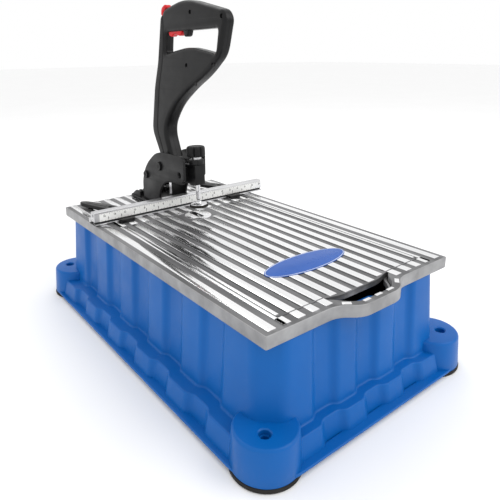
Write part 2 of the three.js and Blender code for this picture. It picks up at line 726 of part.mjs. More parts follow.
place(armGroup, 'clamp_arm', inArm(clampArm()), 'black');
place(armGroup, 'arm_roller', inArm(armRoller()), 'steel');
place(armGroup, 'lock_ring', inArm(lockRing()), 'blackMetal');
place(armGroup, 'clamp_knob', inArm(clampKnob()), 'black');
place(armGroup, 'plunger_rod', inArm(plungerRod()), 'steel');
place(armGroup, 'pad_cup', inArm(padCup()), 'steel');
place(armGroup, 'pad_rubber', inArm(padRubber()), 'rubber');

// ---------------------------------------------------------------- handle, trigger, lock button
const up = (z) => top + z;
const gripOuter = [
  [200.4, up(100)], [228, up(148), 14], [206, up(256), 30], [185, up(356), 10], [176, up(370), 8],
  [105, up(385), 70], [-4, up(360), 24], [-13, up(346), 14], [3, up(291), 16],
  [46, up(259), 26], [100, up(232), 30], [150, up(198), 34], [182.5, up(154), 22], [160, up(100)],
];
const gripOpening = [
  [170.5, up(331), 9], [176, up(293), 9], [140, up(299), 20], [96, up(305), 40], [52, up(299), 20],
  [17, up(293), 9], [9, up(333), 8],
];
const triggerPivotY = 163;
const triggerPivotZ = up(338);

function handleBlank() {
  const loop = platePiece(outline(gripOuter), [-loopHalf, loopHalf]);
  const full = platePiece(outline(gripOuter), [-bodyHalf, bodyHalf]);
  const body = full.intersect(box([-30, 30], [100, 300], [up(60), up(262)])
    .add(box([-30, 30], [30, 260], [up(60), up(280)])));
  const nub = platePiece(outline([
    [100, up(334)], [104, up(323), 3], [113, up(321), 4], [118, up(334)], [112, up(345)],
  ]), [-6, 6]);
  return cut(join(loop, body, nub), platePiece(outline(gripOpening), [-40, 40]));
}

// The hollow inside both shells: the neck and body round the lever core, and the switch bay in the grip.
function handleHollow() {
  const neck = platePiece(outline([
    [193, up(90)], [211, up(142), 8], [220, up(148), 8], [199, up(254), 10], [193, up(284)], [182, up(284)],
    [176, up(280), 6], [60, up(276), 6], [104, up(240), 10], [157, up(200), 20],
    [190, up(156), 16], [164.5, up(96)], [164.5, up(90)],
  ]), [-bodyHalf + shellWall, bodyHalf - shellWall]);
  const upper = box([-loopHalf + shellWall, loopHalf - shellWall], [60, 183], [up(258), up(284)]);
  const keep = platePiece(outline(gripOpening.map(([y, z]) => [y, z - 4])), [-40, 40]);
  const bay = box([-loopHalf + shellWall, loopHalf - shellWall], [92, 171], [up(342), up(362)]);
  const mouth = box([-6.6, 6.6], [120, 169], [up(320), up(352)]);
  const buttonWell = box([-7.5, 7.5], [166, 200], [up(352), up(372)]);
  return cut(join(neck, bay, mouth, buttonWell), upper.intersect(keep));
}

function handleShell(side) {
  const half = side < 0
    ? box([-40, -gap / 2], [-100, 300], [up(60), up(420)])
    : box([gap / 2, 40], [-100, 300], [up(60), up(420)]);
  const screwWells = side < 0
    ? [[86, 361], [-3, 350], [102, 274], [24, 276], [74, 243], [170, 180], [184, 142]].map(([y, z]) =>
      bar('x', 3.6, -bodyHalf - 2, -loopHalf + 2.4, [y, up(z)], 14))
    : [];
  return cut(handleBlank().intersect(half), handleHollow(), ...screwWells);
}

function handleLever() {
  const pinY = rodSlotY;
  const pinZ = handlePivotZ - pullCrank * Math.sin(rad(handlePull / 2));
  const spine = platePiece(outline([
    [handlePivotY - 12, handlePivotZ - 10, 8], [handlePivotY + 8, handlePivotZ - 14, 8],
    [pinY + 7, pinZ - 7, 6], [pinY + 7, pinZ + 8, 6], [handlePivotY + 14, handlePivotZ + 8, 4],
    [199, up(118)], [214, up(150), 6], [198, up(236), 3], [178, up(236), 3], [196, up(150), 8],
    [handlePivotY + 1, up(124)], [handlePivotY - 5, up(108)], [handlePivotY - 10, up(98), 4],
    [handlePivotY - 16, handlePivotZ + 4, 6],
  ]), [-leverCoreHalf, leverCoreHalf]);
  const reach = Math.hypot(rollerY - handlePivotY, rollerZ - handlePivotZ)
    - rollerRadius - noseRadius - runGap;
  const aim = Math.atan2(rollerZ - handlePivotZ, rollerY - handlePivotY) - rad(handlePull);
  const nose = bar('x', noseRadius, -leverCoreHalf, leverCoreHalf,
    [handlePivotY + reach * Math.cos(aim), handlePivotZ + reach * Math.sin(aim)], 20);
  const bore = bar('x', handleShaftRadius + gap, -60, 60, [handlePivotY, handlePivotZ], 24);
  const pin = bar('x', linkPinRadius, 0, leverCoreHalf + linkThick + 1.5, [pinY, pinZ], 16);
  return join(cut(join(spine, nose), bore), pin);
}

function powerSwitch() {
  const body = box([-loopHalf + shellWall + 0.6, loopHalf - shellWall - 0.6], [96, 150], [up(350), up(361)]);
  const plunger = box([-2, 2], [128, 134], [up(346.6), up(351)]);
  return join(body, plunger);
}

function trigger() {
  const shape = outline([
    [166, up(343)], [167, up(326), 4], [158, up(322), 4], [146, up(329), 12], [131, up(323), 4],
    [122.5, up(327), 4], [122.5, up(342.6)], [156, up(342.6)],
  ]);
  const body = platePiece(shape, [-6, 6], 8);
  return cut(body, bar('x', 1.4, -10, 10, [triggerPivotY, triggerPivotZ], 12));
}

function lockButton() {
  const cap = platePiece(outline([
    [184, up(359), 3], [190.5, up(361), 4], [189, up(374), 6],
    [176, up(380), 5], [170, up(373), 3], [183, up(367)],
  ]), [-7, 7], 8);
  return cap;
}

place(machine, 'handle_left', handleShell(-1), 'black');
place(machine, 'handle_right', handleShell(1), 'black');
place(machine, 'handle_lever', handleLever(), 'blackMetal');
place(machine, 'power_switch', powerSwitch(), 'blackMetal');
place(machine, 'trigger', trigger(), 'red');
place(machine, 'lock_button', lockButton(), 'red');

// ---------------------------------------------------------------- drill on its sloping rails
// The drill group's X axis lies across the table, its Y axis points along the drill towards the tip.
const drillGroup = new THREE.Group();
drillGroup.position.set(0, drillExitY, top);
drillGroup.rotation.x = rad(drillAngle);
machine.add(drillGroup);
const drillY = (s, v) => drillExitY + s * Math.cos(rad(drillAngle)) - v * Math.sin(rad(drillAngle));
const drillZ = (s, v) => top + s * Math.sin(rad(drillAngle)) + v * Math.cos(rad(drillAngle));
const gearboxFront = chuckFront - chuckLength;
const motorFront = gearboxFront - gearboxLength;
const motorBack = motorFront - motorLength;
const lugS = motorFront - 8;
const lugV = -58;
const bracketFrontY = -236;
const bracketRearY = -18;
const bracketThick = 10;
const guideBack = -98;
const guideFront = -72;

function drillBit() {
  const shank = bar('y', 3, chuckFront - 20, chuckFront + 8, [0, 0], 12);
  const step = bar('y', bitRadius, chuckFront + 6, bitTip - 16, [0, 0], 20);
  const pilot = bar('y', 1.9, bitTip - 17, bitTip - 2, [0, 0], 12);
  const point = solidOf(new THREE.ConeGeometry(1.9, 2, 12).translate(0, bitTip - 1.01, 0));
  return join(shank, step, pilot, point);
}

function depthCollar() {
  const ring = bar('y', bitRadius + 4.5, chuckFront + 14, chuckFront + 24, [0, 0], 24);
  return cut(ring, bar('y', bitRadius + gap, chuckFront, chuckFront + 40, [0, 0], 20));
}

function chuck() {
  const body = join(
    bar('y', chuckRadius, gearboxFront + gap, chuckFront - 8, [0, 0], 24),
    bar('y', chuckRadius - 3, chuckFront - 9, chuckFront, [0, 0], 24));
  return cut(body, bar('y', 3 + gap, chuckFront - 22, chuckFront + 1, [0, 0], 16));
}

function gearbox() {
  return join(
    bar('y', gearboxRadius, motorFront + gap, gearboxFront - 6, [0, 0], 28),
    bar('y', gearboxRadius - 6, gearboxFront - 7, gearboxFront, [0, 0], 28));
}

function motorBody() {
  const can = bar('y', motorRadius, motorBack, motorFront, [0, 0], 32);
  const vents = [];
  for (let i = 0; i < 6; i += 1) {
    const angle = rad(60 * i);
    vents.push(box([-2, 2], [motorBack + 8, motorBack + 22], [motorRadius - 3, motorRadius + 2])
      .rotate([0, THREE.MathUtils.radToDeg(angle), 0]));
  }
  return cut(can, ...vents);
}

function drillCarriage() {
  const back = motorFront - 30;
  const block = box([-railX - 14, railX + 14], [back, motorFront - 4], [-40, 32]);
  const shoulders = [-1, 1].map((side) => {
    const from = side * (railX - 14);
    const to = side * (railX + 20);
    return box([Math.min(from, to), Math.max(from, to)], [back - 1, motorFront], [14, 40]);
  });
  const motorSeat = bar('y', motorRadius + gap, back - 2, motorFront + 2, [0, 0], 32);
  const bores = [-railX, railX].map((x) => bar('y', railRadius + gap, back - 2, motorFront + 2, [x, 0], 20));
  const lug = box([-3, 3], [lugS - 9, lugS + 9], [lugV - 9, -38]);
  const pin = bar('x', linkPinRadius, -2, 3 + 2 + linkThick + 1.5, [lugS, lugV], 16);
  return join(cut(block, ...shoulders, motorSeat, ...bores), lug, pin);
}

function guideRod(x) {
  const from = (bracketFrontY + 3 - drillExitY) / Math.cos(rad(drillAngle));
  const to = (bracketRearY + bracketThick - 3 - drillExitY) / Math.cos(rad(drillAngle));
  return bar('y', railRadius, from, to, [x, 0], 20);
}

function bitGuide() {
  const block = box([-15, 15], [guideBack, guideFront], [-14, 7.5]);
  return cut(block, bar('y', bitRadius + 0.4, guideBack - 1, guideFront + 1, [0, 0], 20));
}

function railBracket(y, bottomZ, notchLow) {
  const plate = box([-150, 150], [y, y + bracketThick], [bottomZ, slabBottom - gap]);
  const bores = [-railX, railX].map((x) => tilted(bar('y', railRadius + gap, -400, 0, [x, 0], 20)));
  const middle = box([-chuckRadius - 6, chuckRadius + 6], [y - 1, y + bracketThick + 1], notchLow);
  return cut(plate, ...bores, middle);
}

place(drillGroup, 'drill_bit', drillBit(), 'steel');
place(drillGroup, 'depth_collar', depthCollar(), 'steel');
place(drillGroup, 'chuck', chuck(), 'steel');
place(drillGroup, 'gearbox', gearbox(), 'alloy');
place(drillGroup, 'motor_body', motorBody(), 'black');
place(drillGroup, 'drill_carriage', drillCarriage(), 'alloy');
place(drillGroup, 'guide_rod_left', guideRod(-railX), 'steel');
place(drillGroup, 'guide_rod_right', guideRod(railX), 'steel');
place(drillGroup, 'bit_guide', bitGuide(), 'steel');
place(machine, 'rail_bracket_front', railBracket(bracketFrontY, 70, [120, slabBottom + 2]), 'blackMetal');
place(machine, 'rail_bracket_rear', railBracket(bracketRearY, 92, [110, slabBottom + 2]), 'blackMetal');

// ---------------------------------------------------------------- linkage from the lever to the drill
const crankPinZ = handlePivotZ - pullCrank * Math.sin(rad(handlePull / 2));
const halfBell = rad(bellAngle / 2);
const bellRearArm = pullCrank * Math.sin(rad(handlePull / 2)) / Math.sin(halfBell);
const bellDownArm = drillStroke * Math.cos(rad(drillAngle)) / 2 / Math.sin(halfBell);
const bellY = rodSlotY - bellRearArm * Math.cos(halfBell);
const bellRearPin = [rodSlotY, bellUp - bellRearArm * Math.sin(halfBell)];
const bellDownPin = [bellY - bellDownArm * Math.sin(halfBell), bellUp - bellDownArm * Math.cos(halfBell)];
const linkX = [leverCoreHalf + 0.6, leverCoreHalf + 0.6 + linkThick];

function flatLink(a, b, x, holeRadius) {
  const dy = b[0] - a[0];
  const dz = b[1] - a[1];
  const length = Math.hypot(dy, dz);
  const shape = outline([
    [-linkWide / 2, -linkWide / 2, linkWide / 2 - 1],
    [length + linkWide / 2, -linkWide / 2, linkWide / 2 - 1],
    [length + linkWide / 2, linkWide / 2, linkWide / 2 - 1], [-linkWide / 2, linkWide / 2, linkWide / 2 - 1],
  ]);
  const angle = THREE.MathUtils.radToDeg(Math.atan2(dz, dy));
  const strip = platePiece(shape, x).rotate([angle, 0, 0]).translate([0, a[0], a[1]]);
  return cut(strip, bar('x', holeRadius, -60, 60, a, 16), bar('x', holeRadius, -60, 60, b, 16));
}

function bellCrank() {
  const half = leverCoreHalf;
  const hubRadius = 13;
  const hub = bar('x', hubRadius, -half, half, [bellY, bellUp], 24);
  const armTo = ([y, z]) => {
    const angle = THREE.MathUtils.radToDeg(Math.atan2(z - bellUp, y - bellY));
    const length = Math.hypot(y - bellY, z - bellUp);
    const shape = outline([
      [0, -9], [length + 7, -7, 6], [length + 7, 7, 6], [0, 9],
    ]);
    return platePiece(shape, [-half, half]).rotate([angle, 0, 0]).translate([0, bellY, bellUp]);
  };
  const pins = [bellRearPin, bellDownPin].map((at) => bar('x', linkPinRadius, 0, linkX[1] + 1.5, at, 16));
  const bore = bar('x', 6 + gap, -60, 60, [bellY, bellUp], 24);
  return join(cut(join(hub, armTo(bellRearPin), armTo(bellDownPin)), bore), ...pins);
}

function crankBracket() {
  const cheeks = [-1, 1].map((side) => {
    const x = side < 0 ? [-26, -21] : [21, 26];
    return platePiece(outline([
      [bellY - 24, slabBottom - gap], [bellY - 14, bellUp - 14, 10], [bellY + 14, bellUp - 14, 10],
      [bellY + 24, slabBottom - gap],
    ]), x);
  });
  const bridge = box([-26, 26], [bellY - 24, bellY - 10], [slabBottom - gap - 5, slabBottom - gap]);
  const pin = bar('x', 6, -25, 25, [bellY, bellUp], 24);
  const sleeves = [
    bar('x', 9, -22, -leverCoreHalf - runGap, [bellY, bellUp], 20),
    bar('x', 9, leverCoreHalf + runGap, 22, [bellY, bellUp], 20),
  ];
  return join(...cheeks, bridge, pin, ...sleeves);
}

const lugY = drillY(lugS, lugV);
const lugZ = drillZ(lugS, lugV);
place(machine, 'pull_rod', flatLink([rodSlotY, crankPinZ], bellRearPin, linkX, linkPinRadius + 1.1), 'steel');
place(machine, 'bell_crank', bellCrank(), 'blackMetal');
place(machine, 'crank_bracket', crankBracket(), 'blackMetal');
const linkSlotRise = bellDownArm * (1 - Math.cos(halfBell)) + 1;

// The link hangs from the bell crank; its far end is slotted, because that pin rides a little up and down.
function pushLink() {
  const half = linkPinRadius + 4;
  const slotEnd = outline([
    [lugY - half, lugZ - half, 5], [lugY + half, lugZ - half, 5],
    [lugY + half, lugZ + half + linkSlotRise, 5], [lugY - half, lugZ + half + linkSlotRise, 5],
  ]);
  const slotHalf = linkPinRadius + 0.6;
  const slot = outline([
    [lugY - slotHalf, lugZ - slotHalf, 3], [lugY + slotHalf, lugZ - slotHalf, 3],
    [lugY + slotHalf, lugZ + slotHalf + linkSlotRise, 3],
    [lugY - slotHalf, lugZ + slotHalf + linkSlotRise, 3],
  ]);
  const strip = flatLink([lugY, lugZ], bellDownPin, linkX, linkPinRadius + gap);
  return cut(join(strip, platePiece(slotEnd, linkX)), platePiece(slot, [linkX[0] - 1, linkX[1] + 1]));
}

place(machine, 'push_link', pushLink(), 'steel');

// ---------------------------------------------------------------- dust port and power inlet
function dustPort() {
  const flange = bar('y', portRadius + 7, wallLowY - 1, wallLowY + 3, [portX, portZ], 32);
  const tube = bar('y', portRadius, wallTopY - 20, halfFootprintY - 3, [portX, portZ], 32);
  return cut(join(flange, tube),
    bar('y', portRadius - 2.5, wallTopY - 30, 2 * halfFootprintY, [portX, portZ], 32));
}

function powerInlet() {
  const [halfX, halfZ] = inletHalf;
  const flange = box([inletX - halfX - 4, inletX + halfX + 4], [wallLowY - 1, wallLowY + 2],
    [inletZ - halfZ - 4, inletZ + halfZ + 4]);
  const body = box([inletX - halfX, inletX + halfX], [wallTopY - 24, wallLowY],
    [inletZ - halfZ, inletZ + halfZ]);
  const socket = box([inletX - halfX + 4, inletX + halfX - 4], [wallTopY - 12, wallLowY + 3],
    [inletZ - halfZ + 4, inletZ + halfZ - 4]);
  const blades = [-6, 0, 6].map((x) =>
    box([inletX + x - 1, inletX + x + 1], [wallTopY - 14, wallLowY - 5], [inletZ - 3, inletZ + 3]));
  return join(cut(join(flange, body), socket), ...blades);
}

place(machine, 'dust_port', dustPort(), 'black');
place(machine, 'power_inlet', powerInlet(), 'black');

export default machine;
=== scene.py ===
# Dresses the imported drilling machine: moulded blue base, ribbed table, fence and rule, clamp and handle.
import bpy
import bmesh
import json
import math
from mathutils import Matrix, Vector
from mathutils.geometry import tessellate_polygon

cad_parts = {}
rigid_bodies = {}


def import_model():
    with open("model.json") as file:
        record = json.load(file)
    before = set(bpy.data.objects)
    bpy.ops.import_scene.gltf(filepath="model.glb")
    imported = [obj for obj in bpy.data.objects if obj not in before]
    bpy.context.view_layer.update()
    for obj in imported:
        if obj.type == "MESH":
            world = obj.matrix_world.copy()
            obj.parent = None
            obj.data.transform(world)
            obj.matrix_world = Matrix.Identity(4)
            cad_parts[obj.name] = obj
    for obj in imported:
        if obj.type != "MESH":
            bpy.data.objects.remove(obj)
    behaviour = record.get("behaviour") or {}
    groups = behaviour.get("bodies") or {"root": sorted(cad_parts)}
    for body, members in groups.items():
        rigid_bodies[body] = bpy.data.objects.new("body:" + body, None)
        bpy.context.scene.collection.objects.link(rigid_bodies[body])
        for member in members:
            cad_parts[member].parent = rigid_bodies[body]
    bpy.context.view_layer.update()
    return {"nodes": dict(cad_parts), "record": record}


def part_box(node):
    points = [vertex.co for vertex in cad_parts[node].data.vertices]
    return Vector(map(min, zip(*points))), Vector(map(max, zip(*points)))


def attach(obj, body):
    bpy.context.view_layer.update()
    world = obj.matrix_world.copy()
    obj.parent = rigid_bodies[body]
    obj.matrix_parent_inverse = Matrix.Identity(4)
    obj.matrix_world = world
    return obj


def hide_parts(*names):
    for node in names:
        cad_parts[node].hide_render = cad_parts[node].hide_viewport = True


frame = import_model()
mm = 0.001
record = frame["record"]
bodyOfNode = {node: body for body, nodes in record["behaviour"]["bodies"].items() for node in nodes}
slotOfNode = {part["node"]: part["material_slot"] for part in record["subparts"]}
tableLow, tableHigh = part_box("table_frame")
tableTop = tableHigh[2] / mm    # outlines below are in millimetres, heights count from the table top
tableHalf = tableHigh[0] / mm
tableBack = tableHigh[1] / mm
print("frame loaded, table top at", round(tableTop, 1), "mm")

cameraLook = {
    "place": (-500.1, -672.2, 298.7),    # from the middle of the table top
    "turn": -37.555,
    "rise": 15.366,
    "roll": -0.474,
    "lens": 36.64,
    "shift": (0.0287, -0.12),
}


def makeCamera():
    lens = bpy.data.cameras.new("camera")
    lens.lens = cameraLook["lens"]
    lens.shift_x, lens.shift_y = cameraLook["shift"]
    lens.clip_end = 20
    camera = bpy.data.objects.new("camera", lens)
    bpy.context.collection.objects.link(camera)
    x, y, z = cameraLook["place"]
    turn = Matrix.Rotation(math.radians(cameraLook["turn"]), 4, "Z")
    rise = Matrix.Rotation(math.radians(90 - cameraLook["rise"]), 4, "X")
    roll = Matrix.Rotation(math.radians(cameraLook["roll"]), 4, "Z")
    camera.matrix_world = Matrix.Translation(Vector((x, y, z + tableTop)) * mm) @ turn @ rise @ roll
    bpy.context.scene.camera = camera


makeCamera()

# Materials. Each starts from a principled shader and gets its grain, mottle and wear from noise.
mats = {}


def newMaterial(name, colour, rough, metal=0.0, **sockets):
    material = bpy.data.materials.new(name)
    material.use_nodes = True
    shader = material.node_tree.nodes["Principled BSDF"]
    shader.inputs["Base Color"].default_value = (*colour, 1)
    shader.inputs["Roughness"].default_value = rough
    shader.inputs["Metallic"].default_value = metal
    for socket, value in sockets.items():
        shader.inputs[socket.replace("_", " ")].default_value = value
    mats[name] = material
    return material


def noiseNode(material, scale, detail=3, stretch=(1, 1, 1)):
    nodes, links = material.node_tree.nodes, material.node_tree.links
    place = nodes.new("ShaderNodeTexCoord")
    squeeze = nodes.new("ShaderNodeMapping")
    squeeze.inputs["Scale"].default_value = stretch
    noise = nodes.new("ShaderNodeTexNoise")
    noise.inputs["Scale"].default_value = scale
    noise.inputs["Detail"].default_value = detail
    links.new(place.outputs["Object"], squeeze.inputs["Vector"])
    links.new(squeeze.outputs["Vector"], noise.inputs["Vector"])
    return noise


def rangeNode(material, source, low, high, fromLow=0.3, fromHigh=0.7):
    node = material.node_tree.nodes.new("ShaderNodeMapRange")
    node.inputs["From Min"].default_value = fromLow
    node.inputs["From Max"].default_value = fromHigh
    node.inputs["To Min"].default_value = low
    node.inputs["To Max"].default_value = high
    material.node_tree.links.new(source, node.inputs["Value"])
    return node.outputs["Result"]


def mottle(material, scale, dark, light, stretch=(1, 1, 1), detail=3):
    nodes, links = material.node_tree.nodes, material.node_tree.links
    noise = noiseNode(material, scale, detail, stretch)
    ramp = nodes.new("ShaderNodeValToRGB")
    ramp.color_ramp.elements[0].position = 0.35
    ramp.color_ramp.elements[1].position = 0.65
    ramp.color_ramp.elements[0].color = (*dark, 1)
    ramp.color_ramp.elements[1].color = (*light, 1)
    links.new(noise.outputs["Fac"], ramp.inputs["Fac"])
    links.new(ramp.outputs["Color"], nodes["Principled BSDF"].inputs["Base Color"])


def roughen(material, scale, low, high, stretch=(1, 1, 1), detail=3):
    noise = noiseNode(material, scale, detail, stretch)
    target = material.node_tree.nodes["Principled BSDF"].inputs["Roughness"]
    material.node_tree.links.new(rangeNode(material, noise.outputs["Fac"], low, high), target)


def grain(material, scale, strength, depth=0.0002, stretch=(1, 1, 1), detail=3):
    nodes, links = material.node_tree.nodes, material.node_tree.links
    noise = noiseNode(material, scale, detail, stretch)
    bump = nodes.new("ShaderNodeBump")
    bump.inputs["Strength"].default_value = strength
    bump.inputs["Distance"].default_value = depth
    links.new(noise.outputs["Fac"], bump.inputs["Height"])
    links.new(bump.outputs["Normal"], nodes["Principled BSDF"].inputs["Normal"])


def makeMaterials():
    blue = newMaterial("mouldedBlue", (0.001, 0.108, 0.400), 0.36, 0, Specular_IOR_Level=0.22)
    mottle(blue, 9, (0.0005, 0.101, 0.380), (0.0012, 0.115, 0.420))
    roughen(blue, 30, 0.30, 0.42)
    grain(blue, 2600, 0.10, 0.0001)
    black = newMaterial("mouldedBlack", (0.009, 0.009, 0.0095), 0.34, 0, Specular_IOR_Level=0.2)
    mottle(black, 40, (0.007, 0.007, 0.0075), (0.011, 0.011, 0.0115))
    roughen(black, 60, 0.28, 0.40)
    grain(black, 3800, 0.12, 0.0001)
    soft = newMaterial("softGrip", (0.010, 0.010, 0.0105), 0.5, 0, Specular_IOR_Level=0.2)
    mottle(soft, 30, (0.008, 0.008, 0.0085), (0.012, 0.012, 0.0125))
    roughen(soft, 50, 0.46, 0.58)
    grain(soft, 5200, 0.3, 0.00012)
    coated = newMaterial("coatedBlack", (0.009, 0.009, 0.0095), 0.36, 0, Specular_IOR_Level=0.22)
    mottle(coated, 25, (0.007, 0.007, 0.0075), (0.011, 0.011, 0.0115))
    roughen(coated, 45, 0.30, 0.46)
    grain(coated, 1900, 0.3, 0.00015)
    rubber = newMaterial("footRubber", (0.016, 0.015, 0.0145), 0.8, 0, Specular_IOR_Level=0.2)
    mottle(rubber, 18, (0.016, 0.015, 0.014), (0.030, 0.027, 0.024))
    roughen(rubber, 25, 0.62, 0.85)
    grain(rubber, 1400, 0.35, 0.0002)
    red = newMaterial("mouldedRed", (0.60, 0.008, 0.012), 0.32, 0, Specular_IOR_Level=0.3)
    mottle(red, 60, (0.55, 0.007, 0.010), (0.66, 0.010, 0.015))
    roughen(red, 80, 0.26, 0.38)
    grain(red, 4200, 0.12, 0.0001)
    land = newMaterial("groundLand", (0.90, 0.90, 0.91), 0.16, 1.0)
    mottle(land, 14, (0.80, 0.80, 0.81), (0.96, 0.96, 0.965), (1, 0.12, 1))
    roughen(land, 260, 0.10, 0.24, (1, 0.03, 1))
    grain(land, 900, 0.03, 0.00002, (1, 0.02, 1))
    groove = newMaterial("sawnGroove", (0.16, 0.16, 0.165), 0.42, 0.75)
    mottle(groove, 60, (0.115, 0.115, 0.118), (0.215, 0.215, 0.22), (1, 0.10, 1))
    roughen(groove, 120, 0.34, 0.52, (1, 0.08, 1))
    grain(groove, 1100, 0.25, 0.00012, (1, 0.05, 1))
    edge = newMaterial("castEdge", (0.30, 0.30, 0.305), 0.5, 0.35)
    mottle(edge, 35, (0.25, 0.25, 0.255), (0.36, 0.36, 0.365))
    roughen(edge, 90, 0.42, 0.58)
    grain(edge, 1500, 0.3, 0.00015)
    alloy = newMaterial("anodisedAlloy", (0.56, 0.56, 0.57), 0.3, 0.95)
    mottle(alloy, 20, (0.48, 0.48, 0.49), (0.64, 0.64, 0.65), (0.1, 1, 1))
    roughen(alloy, 300, 0.24, 0.38, (0.03, 1, 1))
    grain(alloy, 1300, 0.12, 0.00008, (0.03, 1, 1))
    cast = newMaterial("castAlloy", (0.42, 0.42, 0.43), 0.5, 0.85)
    mottle(cast, 40, (0.34, 0.34, 0.35), (0.50, 0.50, 0.51))
    roughen(cast, 110, 0.42, 0.6)
    grain(cast, 900, 0.4, 0.0003)
    steel = newMaterial("brightSteel", (0.74, 0.74, 0.75), 0.18, 1.0)
    mottle(steel, 50, (0.66, 0.66, 0.67), (0.80, 0.80, 0.81))
    roughen(steel, 160, 0.12, 0.26)
    grain(steel, 1800, 0.08, 0.00006)
    white = newMaterial("ruleWhite", (0.83, 0.83, 0.81), 0.4)
    mottle(white, 25, (0.79, 0.79, 0.77), (0.87, 0.87, 0.85))
    roughen(white, 60, 0.34, 0.46)
    ink = newMaterial("ruleInk", (0.018, 0.018, 0.02), 0.5)
    mottle(ink, 300, (0.012, 0.012, 0.013), (0.03, 0.03, 0.032))
    badge = newMaterial("badgeBlue", (0.035, 0.110, 0.400), 0.4, 0, Specular_IOR_Level=0.12)
    mottle(badge, 30, (0.031, 0.103, 0.385), (0.039, 0.117, 0.415))
    roughen(badge, 70, 0.26, 0.36)
    rim = newMaterial("badgeRim", (0.55, 0.60, 0.72), 0.3)
    mottle(rim, 60, (0.50, 0.55, 0.68), (0.60, 0.65, 0.76))
    # painted shade: a near-black for the insides of holes, sockets, screw wells and the fence's track, where
    # only shade would be
    recessShade = newMaterial("paintedRecessShade", (0.006, 0.006, 0.006), 0.7)
    mottle(recessShade, 200, (0.004, 0.004, 0.004), (0.009, 0.009, 0.009))
    # painted shadow: a near-black for the shade in the gap round the panel and beside each land
    seam = newMaterial("grooveShadow", (0.012, 0.012, 0.013), 0.6)
    mottle(seam, 100, (0.008, 0.008, 0.009), (0.018, 0.018, 0.019))


makeMaterials()
print("materials:", len(mats))


# Shapes. An outline's corners are (u, v, radius); its rounding has a fixed number of points a corner.
def rounded(corners, steps=8):
    points = []
    count = len(corners)
    for i, corner in enumerate(corners):
        here = Vector(corner[:2])
        radius = corner[2] if len(corner) > 2 else 0
        before = Vector(corners[i - 1][:2]) - here
        after = Vector(corners[(i + 1) % count][:2]) - here
        reach = min(radius, 0.48 * min(before.length, after.length))
        if reach <= 0:
            points.append(tuple(here))
            continue
        start = here + before.normalized() * reach
        end = here + after.normalized() * reach
        for k in range(steps + 1):
            t = k / steps
            points.append(tuple(start * (1 - t) ** 2 + here * 2 * t * (1 - t) + end * t * t))
    return points


def circle(u, v, radius, count=32):
    return [(u + radius * math.cos(2 * math.pi * k / count), v + radius * math.sin(2 * math.pi * k / count))
            for k in range(count)]


def link(name, mesh):
    piece = bpy.data.objects.new(name, mesh)
    bpy.context.collection.objects.link(piece)
    return piece


def evaluated(piece):
    mesh = bpy.data.meshes.new_from_object(piece.evaluated_get(bpy.context.evaluated_depsgraph_get()))
    return mesh


# A slab with rounded edges, from one outline and its holes, drawn flat between w[0] and w[1].
def plate(loops, w, bevel=0.5, steps=3):
    curve = bpy.data.curves.new("plate", "CURVE")
    curve.dimensions = "2D"
    curve.fill_mode = "BOTH"
    for loop in loops:
        spline = curve.splines.new("POLY")
        spline.points.add(len(loop) - 1)
        for point, (u, v) in zip(spline.points, loop):
            point.co = (u * mm, v * mm, 0, 1)
        spline.use_cyclic_u = True
    bevel = min(bevel, 0.499 * (w[1] - w[0]))
    curve.extrude = ((w[1] - w[0]) / 2 - bevel) * mm
    curve.bevel_depth = bevel * mm
    curve.bevel_resolution = steps
    curve.offset = -bevel * mm
    temp = link("plateTemp", curve)
    bpy.context.view_layer.update()
    mesh = evaluated(temp)
    bpy.data.objects.remove(temp)
    bpy.data.curves.remove(curve)
    tidy = bmesh.new()
    tidy.from_mesh(mesh)
    bmesh.ops.remove_doubles(tidy, verts=tidy.verts, dist=1e-6)
    bmesh.ops.recalc_face_normals(tidy, faces=tidy.faces)
    tidy.to_mesh(mesh)
    tidy.free()
    mesh.transform(Matrix.Translation((0, 0, (w[0] + w[1]) / 2 * mm)))
    return mesh


sidePlane = Matrix(((0, 0, 1, 0), (1, 0, 0, 0), (0, 1, 0, 0), (0, 0, 0, 1)))    # u along Y, v up, w across
frontPlane = Matrix(((1, 0, 0, 0), (0, 0, -1, 0), (0, 1, 0, 0), (0, 0, 0, 1)))    # u across, v up


def sidePlate(loops, x, bevel=0.5, steps=3):
    mesh = plate(loops, x, bevel, steps)
    mesh.transform(sidePlane)
    mesh.transform(Matrix.Translation((0, 0, tableTop * mm)))
    return mesh


def topPlate(loops, z, bevel=0.5, steps=3):
    mesh = plate(loops, z, bevel, steps)
    mesh.transform(Matrix.Translation((0, 0, tableTop * mm)))
    return mesh


def brick(x, y, z, bevel=0.3):
    return topPlate([[(x[0], y[0]), (x[1], y[0]), (x[1], y[1]), (x[0], y[1])]], z, bevel, 1)


# A rectangle with its two front corners and its two back corners rounded.
def panelLoop(x, y, front, back):
    return rounded([(x[0], y[0], front), (x[1], y[0], front), (x[1], y[1], back), (x[0], y[1], back)])


across = (1, 0, 0)


# The profile of a round bar with softened ends, for turning.
def barProfile(radius, half, inward=0.4, along=0.4):
    return [(0, -half), (radius - inward, -half), (radius, along - half), (radius, half - along),
            (radius - inward, half), (0, half)]


